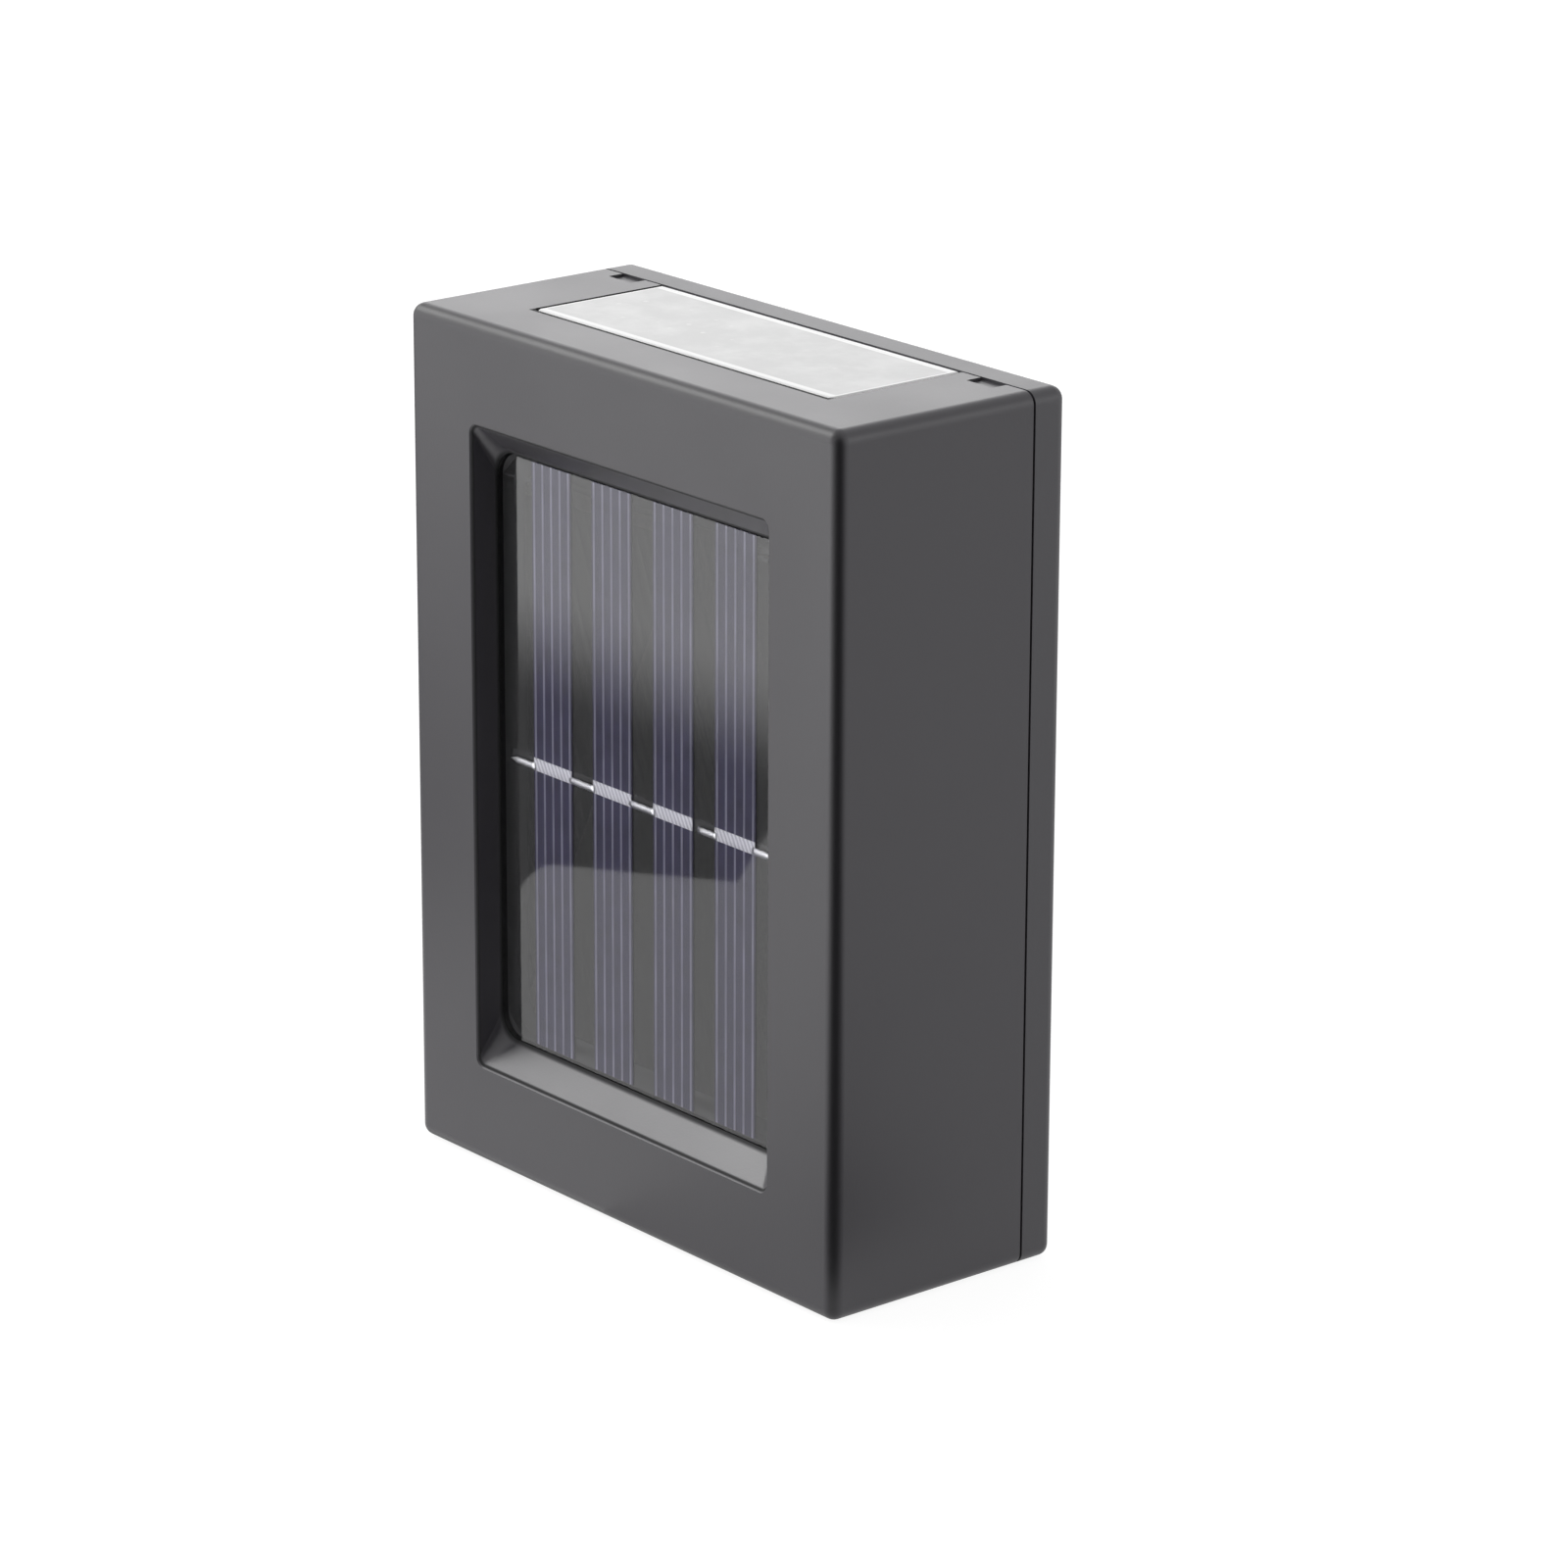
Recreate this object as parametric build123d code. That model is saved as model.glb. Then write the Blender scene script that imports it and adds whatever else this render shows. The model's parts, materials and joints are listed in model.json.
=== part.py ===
from build123d import *
from math import cos, radians, sin
import os

os.makedirs("parts", exist_ok=True)

# A solar fence light, in millimetres. The origin is the middle of the rear cover's back face, which
# lies on the wall. X is the width, +Y points into the wall and Z is up. "Reach" is the distance out
# from the wall, so a point at a reach of r lies at y = -r.

# Case: a moulded front housing closed by a rear cover, which meet at a fine seam.
case_width = 75.0
case_height = 100.0
case_depth = 32.0
corner_radius = 1.5
edge_radius = 1.5
wall = 2.2
cavity_corner = 1.0
seam_reach = 4.6
seam_gap = 0.3

# Bezel: the window in the front, its sloped ledges and the bed that the solar panel is glued in.
bezel_side = 11.5
bezel_end = 12.0
window_corner = 1.0
window_lip = 0.3
recess_depth = 3.3
ledge_drop = 3.1
side_draft = 0.5
panel_corner = 3.0
panel_gap = 0.2
bed_wall = 1.6
bed_web = 1.6
bezel_backing = 2.2

# Solar panel: a board with cell strips under clear resin, on an adhesive bed.
adhesive_thickness = 0.3
adhesive_inset = 2.0
board_thickness = 1.6
resin_thickness = 0.6
resin_film = 0.02
cell_count = 4
cell_gap = 3.8
cell_side = 5.6
cell_thickness = 0.2
cell_margin = 2.2
pad_height = 1.5
pad_thickness = 0.05
pad_level = -0.8
ribbon_height = 0.9
ribbon_thickness = 0.12
ribbon_drop = 0.3
ribbon_overlap = 0.4

# Light windows in the top and the bottom: a flush lens with a flange under the wall, over a
# white reflector tray and a small board with two LEDs.
lens_side = 11.8
lens_setback = 9.0
lens_corner = 0.6
lens_gap = 0.25
lens_chamfer = 0.3
lens_flange = 1.6
flange_thickness = 1.4
flange_clearance = 0.4
tray_height = 6.0
tray_floor = 1.0
tray_wall = 1.2
tray_clearance = 0.1
tray_splay = 2.4
led_board_side = 2.7
led_board_depth = 12.0
led_board_thickness = 1.0
led_pitch = 24.0
led_width = 3.5
led_depth = 2.8
led_height = 0.8
led_window_gap = 0.4
shelf_thickness = 1.5

# Rear cover: a shallow tray with a tongue that enters the housing, and tabs in its notches.
cover_floor = 2.0
cover_edge_radius = 1.2
tongue_wall = 1.4
tongue_length = 2.8
tongue_slip = 0.2
notch_width = 4.2
notch_length = 2.0
notch_side = 6.5
notch_floor = 1.2
notch_depth = 0.35
tab_gap = 0.15
gasket_inset = 1.3
gasket_width = 0.8
cover_rib_width = 1.0
cover_rib_height = 1.2
cover_rib_pitch = 22.0

# Screws that hold the cover to four bosses, and their holes.
boss_side = 6.9
boss_inset = 7.0
boss_radius = 2.6
boss_seat = 6.0
boss_rib = 1.2
cover_boss_radius = 3.3
screw_radius = 1.05
screw_length = 10.0
screw_head_radius = 2.3
screw_head_height = 1.6
screw_head_sink = 2.6
head_clearance = 0.3
shank_clearance = 0.4
pilot_clearance = 0.05
pilot_spare = 1.5
bore_sides = 12

# Keyholes that hang the light on two wall screws.
keyhole_spacing = 40.0
keyhole_level = 12.0
keyhole_radius = 4.0
keyhole_slot_radius = 2.1
keyhole_travel = 7.0
pocket_side = 0.7
pocket_depth = 4.2
pocket_wall = 1.2

# Control board on two posts, with its parts.
post_height = 8.0
post_radius = 2.4
post_side = 3.5
post_drop = 4.0
control_width = 44.0
control_height = 26.0
control_room = 8.9
control_thickness = 1.2
control_corner = 1.0
board_screw_radius = 0.95
board_screw_length = 6.0
board_screw_head_radius = 1.9
board_screw_head_height = 1.2
chip_width = 5.0
chip_height = 4.0
chip_thickness = 1.5
chip_x = -10.0
chip_drop = 6.0
coil_radius = 3.2
coil_height = 4.6
coil_neck = 0.8
coil_flange = 0.9
coil_x = 10.5
coil_drop = 1.0
capacitor_radius = 2.0
capacitor_height = 4.8
capacitor_x = -12.0
capacitor_rise = 2.0

# Latching push switch: its body on the board, its plunger and the cap in the cover's hole.
switch_size = 7.0
switch_depth = 5.8
switch_travel = 1.5
plunger_radius = 1.5
plunger_clearance = 0.05
plunger_entry = 3.0
cap_radius = 3.2
cap_sink = 0.6
cap_gap = 2.2
cap_roof = 1.2
cap_clearance = 0.35
well_wall = 1.2
well_gap = 2.6

# Battery: one AA cell lying across the case in an open holder.
battery_radius = 7.1
battery_length = 49.5
battery_room = 9.1
battery_nub_radius = 2.7
battery_nub_length = 1.0
battery_rim = 0.6
battery_clearance = 0.3
holder_wall = 1.4
holder_floor = 1.2
holder_side_height = 10.5
holder_end_height = 12.5
contact_thickness = 0.4
contact_width = 9.0
contact_tab_width = 3.0
contact_tab_length = 2.4
spring_length = 3.6
spring_radius = 3.4
spring_wire = 0.35
spring_turns = 3
spring_steps = 10

# Hook-up wire.
wire_radius = 0.55
wire_pitch = 2.2
wire_sides = 8
wire_bend = 2.0
wire_bend_share = 0.45
wire_hole_radius = 2.4
panel_wire_x = 4.6
panel_wire_drop = 2.3
panel_wire_landing = 2.8
panel_wire_loop = 4.4
battery_wire_landing_x = 17.0
battery_wire_landing = 1.8
led_wire_x = -12.0
led_wire_jog = 5.0
led_wire_setback = 1.6
low_wire_inset = 4.1
low_wire_landing_x = 11.0
low_wire_wall = 0.9
low_wire_turn = 6.8
low_wire_drop = 2.6
low_wire_setback = 2.35

# Places that follow from the sizes above.
cover_front = seam_reach - seam_gap / 2
rim_reach = seam_reach + seam_gap / 2
inner_width = case_width - 2 * wall
inner_height = case_height - 2 * wall
inner_front = case_depth - wall
recess_floor = case_depth - recess_depth
window_width = case_width - 2 * bezel_side
window_height = case_height - 2 * bezel_end
bed_width = window_width - 2 * side_draft
bed_height = window_height - 2 * ledge_drop
panel_width = bed_width - 2 * panel_gap
panel_height = bed_height - 2 * panel_gap
panel_back = recess_floor - resin_thickness - board_thickness
cell_reach = panel_back + board_thickness
cell_front = cell_reach + cell_thickness
pad_front = cell_front + pad_thickness
cell_height = panel_height - 2 * cell_margin
cell_room = panel_width - 2 * cell_side - cell_gap * (cell_count - 1)
cell_width = cell_room / cell_count
cell_pitch = cell_width + cell_gap
bed_floor = panel_back - adhesive_thickness
web_back = bed_floor - bed_web
tongue_end = cover_front + tongue_length
tongue_width = inner_width - 2 * tongue_slip
tongue_height = inner_height - 2 * tongue_slip
flange_back = tongue_end + flange_clearance
lens_width = case_width - 2 * lens_side
lens_front = case_depth - lens_setback
flange_front = lens_front + lens_flange
flange_width = lens_width + 2 * lens_flange
lens_under = inner_height / 2
flange_under = lens_under - flange_thickness
tray_under = flange_under - tray_height
shelf_top = tray_under - led_board_thickness
shelf_under = shelf_top - shelf_thickness
light_centre = (flange_back + flange_front) / 2
led_board_width = lens_width - 2 * led_board_side
boss_x = case_width / 2 - boss_side
boss_z = case_height / 2 - boss_inset
notch_offset = case_width / 2 - notch_side
control_front = web_back - post_height
control_back = control_front - control_thickness
control_top = shelf_under - control_room
control_level = control_top - control_height / 2
control_bottom = control_top - control_height
post_x = control_width / 2 - post_side
post_level = control_top - post_drop
chip_level = control_level - chip_drop
coil_level = control_level - coil_drop
capacitor_level = control_level + capacitor_rise
switch_level = control_level
switch_back = control_back - switch_depth
cap_front = switch_back - cap_gap
well_end = switch_back - well_gap
holder_bed = web_back - holder_floor
holder_width = 2 * (battery_radius + battery_clearance + holder_wall)
contact_gap = battery_length + battery_nub_length + spring_length
holder_inner = contact_gap + 2 * contact_thickness
holder_length = holder_inner + 2 * holder_wall
battery_level = battery_room + holder_width / 2 - shelf_under
battery_reach = holder_bed - battery_radius - battery_clearance
battery_x = (spring_length - battery_nub_length) / 2
strap_reach = holder_bed - holder_end_height
strap_level = battery_level + contact_tab_width / 2
wire_reach = control_back + control_thickness / 2
led_wire_reach = light_centre - led_wire_setback
low_wire_x = led_board_width / 2 - low_wire_inset
low_wire_reach = wire_reach - low_wire_setback
panel_wire_level = bed_height / 2 - panel_wire_drop


# Shapes that are used again and again.

def slab(width, height, corner, low, high):
    """Round-cornered plate parallel to the wall, between two reaches."""
    outline = Plane.XZ.offset(low) * RectangleRounded(width, height, corner)
    return extrude(outline, amount=high - low)


def block(width, low, high, z_low, z_high, x=0.0):
    """Box centred on x, between two reaches and two levels."""
    middle = Pos(x, -(low + high) / 2, (z_low + z_high) / 2)
    return middle * Box(width, high - low, z_high - z_low)


def peg(radius, low, high, x, z):
    """Cylinder square to the wall, between two reaches."""
    outline = Plane.XZ.offset(low) * Pos(x, z) * Circle(radius)
    return extrude(outline, amount=high - low)


def bore(radius, low, high, x, z):
    """Narrow flat-sided rod square to the wall that holds a circle of the radius."""
    outline = Plane.XZ.offset(low) * Pos(x, z) * RegularPolygon(radius, bore_sides, major_radius=False)
    return extrude(outline, amount=high - low)


def tile(width, low, high, corner, z_low, z_high):
    """Level plate between two reaches, with round corners at the front only."""
    outline = Pos(0, -(low + high) / 2) * Rectangle(width, high - low)
    outline = fillet(outline.vertices().group_by(Axis.Y)[0], corner)
    return extrude(Plane.XY.offset(z_low) * outline, amount=z_high - z_low)


def follow(places, radius, sides):
    """Rod with a many-sided section along straight runs with mitred joints."""
    path = Polyline(*places)
    section = Plane(origin=path @ 0, z_dir=path % 0) * RegularPolygon(radius, sides)
    return sweep(section, path=path, transition=Transition.RIGHT)


def wire(points):
    """Wire through its corners, each one taken in a bend of two short runs."""
    corners = [Vector(x, -reach, z) for x, reach, z in points]
    places = [corners[0]]
    for before, corner, after in zip(corners, corners[1:], corners[2:]):
        shorter = min((before - corner).length, (after - corner).length)
        bend = min(wire_bend, shorter * wire_bend_share)
        back = (before - corner).normalized() * bend
        ahead = (after - corner).normalized() * bend
        places += [corner + back, corner + (back + ahead) / 4, corner + ahead]
    return follow(places + [corners[-1]], wire_radius, wire_sides)


def four_corners():
    """Signs of the four corners of the case."""
    return [(side, end) for side in (-1, 1) for end in (-1, 1)]


def save(name, shape):
    """Write one named piece."""
    shape.label = name
    export_step(shape, f"parts/{name}.step")


# Front housing: the outer shell, the bezel with its panel bed, and the walls inside.

def bezel_funnel():
    """The window narrows from its lip to the panel along sloped ledges."""
    lip_width = window_width + 2 * window_lip
    lip_height = window_height + 2 * window_lip
    lip = Plane.XZ.offset(case_depth) * RectangleRounded(lip_width, lip_height, window_corner + window_lip)
    throat_reach = case_depth - window_lip
    throat = Plane.XZ.offset(throat_reach) * RectangleRounded(window_width, window_height, window_corner)
    foot = Plane.XZ.offset(recess_floor) * RectangleRounded(bed_width, bed_height, panel_corner)
    return loft([foot, throat, lip], ruled=True)


def housing_shell():
    """Open-backed box with its bezel, panel bed and rounded front edges."""
    shell = slab(case_width, case_height, corner_radius, rim_reach, case_depth)
    shell = fillet(shell.faces().sort_by(Axis.Y)[0].edges(), edge_radius)
    shell -= slab(inner_width, inner_height, cavity_corner, rim_reach, inner_front)
    bed_corner = panel_corner + bed_wall
    shell += slab(bed_width + 2 * bed_wall, bed_height + 2 * bed_wall, bed_corner, web_back, inner_front)
    backing_width = window_width + 2 * bed_wall
    backing_height = window_height + 2 * bed_wall
    backing_low = inner_front - bezel_backing
    shell += slab(backing_width, backing_height, window_corner + bed_wall, backing_low, inner_front)
    shell -= bezel_funnel()
    return shell - slab(bed_width, bed_height, panel_corner, bed_floor, recess_floor)


def housing_walls():
    """Shelves under the light windows, screw bosses with ribs, and the control board's posts."""
    walls = []
    for end in (-1, 1):
        low, high = sorted((end * shelf_under, end * shelf_top))
        walls.append(block(inner_width, flange_back, inner_front, low, high))
    rib_length = inner_width / 2 - boss_x
    for side, end in four_corners():
        walls.append(peg(boss_radius, boss_seat, inner_front, side * boss_x, end * boss_z))
        rib_low = end * boss_z - boss_rib / 2
        rib_x = side * (boss_x + rib_length / 2)
        walls.append(block(rib_length, flange_back, inner_front, rib_low, rib_low + boss_rib, rib_x))
    for side in (-1, 1):
        walls.append(peg(post_radius, control_front, web_back, side * post_x, post_level))
    return walls


def housing_cuts():
    """Lens cut-outs, seam notches, pilot holes and wire holes."""
    cuts = []
    top = case_height / 2
    cut_width = lens_width + 2 * lens_gap
    cut_front = lens_front + lens_gap
    opening = tile(cut_width, cover_front, cut_front, lens_corner + lens_gap, lens_under, top)
    cuts.append(opening)
    cuts.append(mirror(opening, about=Plane.XY))
    for side, end in four_corners():
        low, high = sorted((end * (top - notch_floor), end * top))
        notch_end = rim_reach + notch_length
        cuts.append(block(notch_width, cover_front, notch_end, low, high, side * notch_offset))
        pilot_end = screw_head_sink + screw_length + pilot_spare
        pilot_radius = screw_radius + pilot_clearance
        cuts.append(bore(pilot_radius, boss_seat, pilot_end, side * boss_x, end * boss_z))
    for side in (-1, 1):
        post_pilot = board_screw_radius + pilot_clearance
        pilot_end = control_back + board_screw_length + pilot_spare
        cuts.append(bore(post_pilot, control_front, pilot_end, side * post_x, post_level))
    cuts.append(bore(wire_hole_radius, web_back, bed_floor, panel_wire_x, panel_wire_level))
    cuts.append(shelf_hole(led_wire_x, led_wire_reach, shelf_under))
    cuts.append(shelf_hole(low_wire_x, low_wire_reach, -shelf_top))
    return cuts


def shelf_hole(x, reach, low):
    """Hole down through a shelf for two wires."""
    outline = Pos(x, -reach) * RegularPolygon(wire_hole_radius, bore_sides, major_radius=False)
    return extrude(Plane.XY.offset(low) * outline, amount=shelf_thickness)


def front_housing():
    """The whole moulded housing."""
    return housing_shell() + housing_walls() - housing_cuts()


# Solar panel.

def cell_places():
    """Middle of each cell strip across the panel."""
    first = -cell_pitch * (cell_count - 1) / 2
    return [first + cell_pitch * number for number in range(cell_count)]


def panel_adhesive():
    """Adhesive bed under the panel, open round the wires."""
    width = panel_width - 2 * adhesive_inset
    height = panel_height - 2 * adhesive_inset
    bed = slab(width, height, panel_corner, bed_floor, panel_back)
    return bed - bore(wire_hole_radius, bed_floor, panel_back, panel_wire_x, panel_wire_level)


def solar_board():
    """Board that carries the cells."""
    return slab(panel_width, panel_height, panel_corner - panel_gap, panel_back, cell_reach)


def solar_cells():
    """Upright cell strips side by side."""
    half = cell_height / 2
    return [block(cell_width, cell_reach, cell_front, -half, half, x) for x in cell_places()]


def cell_pads():
    """Solder pads across the middle of the strips."""
    low = pad_level - pad_height / 2
    high = pad_level + pad_height / 2
    return [block(cell_width - 0.1, cell_front, pad_front, low, high, x) for x in cell_places()]


def cell_ribbons():
    """Tab ribbons that bridge the gaps between strips and lead out at both ends."""
    low = pad_level - ribbon_drop - ribbon_height / 2
    high = low + ribbon_height
    length = cell_pitch - cell_width + 2 * ribbon_overlap
    first = cell_places()[0] - cell_pitch / 2
    bridges = [first + cell_pitch * number for number in range(cell_count + 1)]
    ribbon_front = pad_front + ribbon_thickness
    return [block(length, pad_front, ribbon_front, low, high, x) for x in bridges]


def solar_resin():
    """Clear resin over the cells, cast to the board."""
    resin = slab(panel_width, panel_height, panel_corner - panel_gap, cell_reach, recess_floor)
    half = cell_height / 2 + resin_film
    room_width = cell_width + 2 * resin_film
    room_front = cell_front + resin_film
    rooms = [block(room_width, cell_reach, room_front, -half, half, x) for x in cell_places()]
    band_low = pad_level - ribbon_drop - ribbon_height / 2 - resin_film
    band_high = pad_level + pad_height / 2 + resin_film
    band_width = cell_pitch * cell_count + cell_pitch - cell_width + 2 * (ribbon_overlap + resin_film)
    band_front = pad_front + ribbon_thickness + resin_film
    return resin - rooms - block(band_width, cell_reach, band_front, band_low, band_high)


# Light windows. Each is made for the top and mirrored for the bottom.

def lens():
    """Flush window with a flange that catches under the wall."""
    top = case_height / 2
    pane = tile(lens_width, rim_reach, lens_front, lens_corner, lens_under, top)
    pane = chamfer(pane.faces().sort_by(Axis.Z)[-1].edges(), lens_chamfer)
    flange_corner = lens_corner + lens_flange
    return pane + tile(flange_width, flange_back, flange_front, flange_corner, flange_under, lens_under)


def led_places():
    """Middles of the LEDs across the board."""
    return [side * led_pitch / 2 for side in (-1, 1)]


def reflector():
    """White tray with splayed sides and a window in its floor for each LED."""
    width = flange_width - 2 * tray_clearance
    low = flange_back + tray_clearance
    high = flange_front - tray_clearance
    tray = block(width, low, high, tray_under, flange_under)
    middle = Pos(0, -light_centre)
    mouth_width = width - 2 * tray_wall
    mouth_depth = high - low - 2 * tray_wall
    mouth = Plane.XY.offset(flange_under) * middle * Rectangle(mouth_width, mouth_depth)
    floor_outline = Rectangle(mouth_width - 2 * tray_splay, mouth_depth - 2 * tray_splay)
    floor = Plane.XY.offset(tray_under + tray_floor) * middle * floor_outline
    tray -= loft([floor, mouth], ruled=True)
    gap_width = led_width + 2 * led_window_gap
    gap_depth = led_depth / 2 + led_window_gap
    near = light_centre - gap_depth
    far = light_centre + gap_depth
    windows = [block(gap_width, near, far, tray_under, tray_under + tray_floor, x) for x in led_places()]
    return tray - windows


def led_board():
    """Narrow board on the shelf under the tray."""
    low = light_centre - led_board_depth / 2
    return block(led_board_width, low, low + led_board_depth, shelf_top, tray_under)


def leds():
    """LED packages on the board."""
    low = light_centre - led_depth / 2
    high = low + led_depth
    top = tray_under + led_height
    return [block(led_width, low, high, tray_under, top, x) for x in led_places()]


# Rear cover.

def cover_shell():
    """Shallow tray with a rounded back edge and a tongue that enters the housing."""
    shell = slab(case_width, case_height, corner_radius, 0, cover_front)
    shell = fillet(shell.faces().sort_by(Axis.Y)[-1].edges(), cover_edge_radius)
    shell += slab(tongue_width, tongue_height, cavity_corner - tongue_slip / 2, cover_floor, tongue_end)
    room_width = tongue_width - 2 * tongue_wall
    room_height = tongue_height - 2 * tongue_wall
    return shell - slab(room_width, room_height, cavity_corner, cover_floor, tongue_end)


def cover_fittings():
    """Stiffening ribs, screw bosses, keyhole pockets, the switch well and the notch tabs."""
    parts = []
    rib_end = cover_floor + cover_rib_height
    room_half = tongue_height / 2 - tongue_wall
    for side in (-1, 1):
        rib_x = side * cover_rib_pitch / 4
        parts.append(block(cover_rib_width, cover_floor, rib_end, -room_half, room_half, rib_x))
        rib_low = side * cover_rib_pitch - cover_rib_width / 2
        parts.append(block(tongue_width, cover_floor, rib_end, rib_low, rib_low + cover_rib_width))
        parts.append(keyhole_pocket(side, pocket_wall))
    parts.append(peg(cap_radius + cap_clearance + well_wall, cover_floor, well_end, 0, switch_level))
    for side, end in four_corners():
        parts.append(peg(cover_boss_radius, cover_floor, boss_seat, side * boss_x, end * boss_z))
        tab_top = end * (case_height / 2 - notch_depth)
        tab_foot = end * (case_height / 2 - notch_floor + tab_gap)
        low, high = sorted((tab_foot, tab_top))
        tab_end = rim_reach + notch_length - tab_gap
        tab_width = notch_width - 2 * tab_gap
        parts.append(block(tab_width, cover_floor, tab_end, low, high, side * notch_offset))
    return parts


def keyhole_pocket(side, skin):
    """Room behind a keyhole for the wall screw's head, or with a skin the box round that room."""
    width = 2 * (keyhole_radius + pocket_side + skin)
    outline = SlotCenterToCenter(keyhole_travel, width, rotation=90)
    middle = Pos(side * keyhole_spacing / 2, keyhole_level + keyhole_travel / 2)
    room = Plane.XZ.offset(cover_floor) * middle * outline
    return extrude(room, amount=pocket_depth + skin)


def cover_cuts():
    """Keyholes, their pockets, the switch hole and the screw holes."""
    cuts = []
    for side in (-1, 1):
        x = side * keyhole_spacing / 2
        cuts.append(keyhole_pocket(side, 0))
        cuts.append(peg(keyhole_radius, 0, cover_floor, x, keyhole_level))
        slot = SlotCenterToCenter(keyhole_travel, 2 * keyhole_slot_radius, rotation=90)
        slot_face = Plane.XZ * Pos(x, keyhole_level + keyhole_travel / 2) * slot
        cuts.append(extrude(slot_face, amount=cover_floor))
    cuts.append(peg(cap_radius + cap_clearance, 0, well_end, 0, switch_level))
    for side, end in four_corners():
        hole_radius = screw_radius + shank_clearance
        cuts.append(bore(hole_radius, screw_head_sink, boss_seat, side * boss_x, end * boss_z))
        sink_radius = screw_head_radius + head_clearance
        cuts.append(peg(sink_radius, 0, screw_head_sink, side * boss_x, end * boss_z))
    return cuts


def rear_cover():
    """The whole moulded cover."""
    return cover_shell() + cover_fittings() - cover_cuts()


def cover_gasket():
    """Flat sealing ring in the seam, inside the notches."""
    outer_width = case_width - 2 * gasket_inset
    outer_height = case_height - 2 * gasket_inset
    ring = slab(outer_width, outer_height, corner_radius, cover_front, rim_reach)
    inner_ring_width = outer_width - 2 * gasket_width
    inner_ring_height = outer_height - 2 * gasket_width
    return ring - slab(inner_ring_width, inner_ring_height, cavity_corner, cover_front, rim_reach)


def screw(radius, length, head_radius, head_height, seat, x, z):
    """Self-tapping screw driven from the wall side, its head resting at the seat."""
    outline = Pos(x, z) * RegularPolygon(radius, bore_sides)
    tip_start = Plane.XZ.offset(seat + length - radius) * outline
    tip_end = Plane.XZ.offset(seat + length) * Pos(x, z) * RegularPolygon(radius / 4, bore_sides)
    shank = extrude(Plane.XZ.offset(seat) * outline, amount=length - radius)
    return shank + loft([tip_start, tip_end], ruled=True) + peg(head_radius, seat - head_height, seat, x, z)


def cover_screws():
    """Four screws through the cover's bosses."""
    sizes = (screw_radius, screw_length, screw_head_radius, screw_head_height, screw_head_sink)
    return [screw(*sizes, side * boss_x, end * boss_z) for side, end in four_corners()]


# Control board.

def control_board():
    """Board on its two posts."""
    outline = Pos(0, control_level) * RectangleRounded(control_width, control_height, control_corner)
    board = extrude(Plane.XZ.offset(control_back) * outline, amount=control_thickness)
    hole_radius = board_screw_radius + shank_clearance / 2
    holes = [bore(hole_radius, control_back, control_front, side * post_x, post_level) for side in (-1, 1)]
    return board - holes


def board_screws():
    """Two small screws in the posts."""
    sizes = (board_screw_radius, board_screw_length, board_screw_head_radius, board_screw_head_height)
    return [screw(*sizes, control_back, side * post_x, post_level) for side in (-1, 1)]


def driver_chip():
    """Flat chip that drives the LEDs and charges the cell."""
    low = chip_level - chip_height / 2
    chip = block(chip_width, control_back - chip_thickness, control_back, low, low + chip_height, chip_x)
    return chamfer(chip.faces().sort_by(Axis.Y)[-1].edges(), chip_thickness / 6)


def inductor():
    """Drum core: two many-sided flanges with a narrower winding between them."""
    low = control_back - coil_height
    foot = bore(coil_radius, control_back - coil_flange, control_back, coil_x, coil_level)
    winding = bore(coil_radius - coil_neck, low, control_back, coil_x, coil_level)
    return foot + winding + bore(coil_radius, low, low + coil_flange, coil_x, coil_level)


def capacitor():
    """Small upright can."""
    low = control_back - capacitor_height
    return peg(capacitor_radius, low, control_back, capacitor_x, capacitor_level)


# Push switch.

def switch_body():
    """Square body on the control board, bored for its plunger."""
    low = switch_level - switch_size / 2
    body = block(switch_size, switch_back, control_back, low, low + switch_size)
    bore_end = switch_back + plunger_entry + switch_travel + plunger_clearance
    return body - bore(plunger_radius + plunger_clearance, switch_back, bore_end, 0, switch_level)


def switch_plunger():
    """Stem from the switch body to the roof of the cap."""
    return peg(plunger_radius, cap_sink + cap_roof, switch_back + plunger_entry, 0, switch_level)


def button_cap():
    """Round cap, bored for the plunger."""
    cap = peg(cap_radius, cap_sink, cap_front, 0, switch_level)
    cap = chamfer(cap.faces().sort_by(Axis.Y)[-1].edges(), cap_roof / 2)
    bore_radius = plunger_radius + plunger_clearance
    return cap - bore(bore_radius, cap_sink + cap_roof, cap_front, 0, switch_level)


# Battery and its holder.

def rod(radius, start, length, reach, z):
    """Cylinder along X from a start."""
    outline = Plane.YZ.offset(start) * Pos(-reach, z) * Circle(radius)
    return extrude(outline, amount=length)


def battery_cell():
    """Round cell with its positive nub towards +X."""
    start = battery_x - battery_length / 2
    can = rod(battery_radius, start, battery_length, battery_reach, battery_level)
    can = chamfer(can.faces().sort_by(Axis.X)[-1].edges(), battery_rim)
    nub_start = start + battery_length
    return can + rod(battery_nub_radius, nub_start, battery_nub_length, battery_reach, battery_level)


def battery_holder():
    """Open tray with higher end walls for the contacts."""
    low = battery_level - holder_width / 2
    high = low + holder_width
    side_end = holder_bed - holder_side_height
    holder = block(holder_length, side_end, web_back, low, high)
    for side in (-1, 1):
        wall_x = side * (holder_length - holder_wall) / 2
        holder += block(holder_wall, strap_reach, web_back, low, high, wall_x)
    room_low = low + holder_wall
    room = block(holder_inner, strap_reach, holder_bed, room_low, high - holder_wall)
    return holder - room


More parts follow.
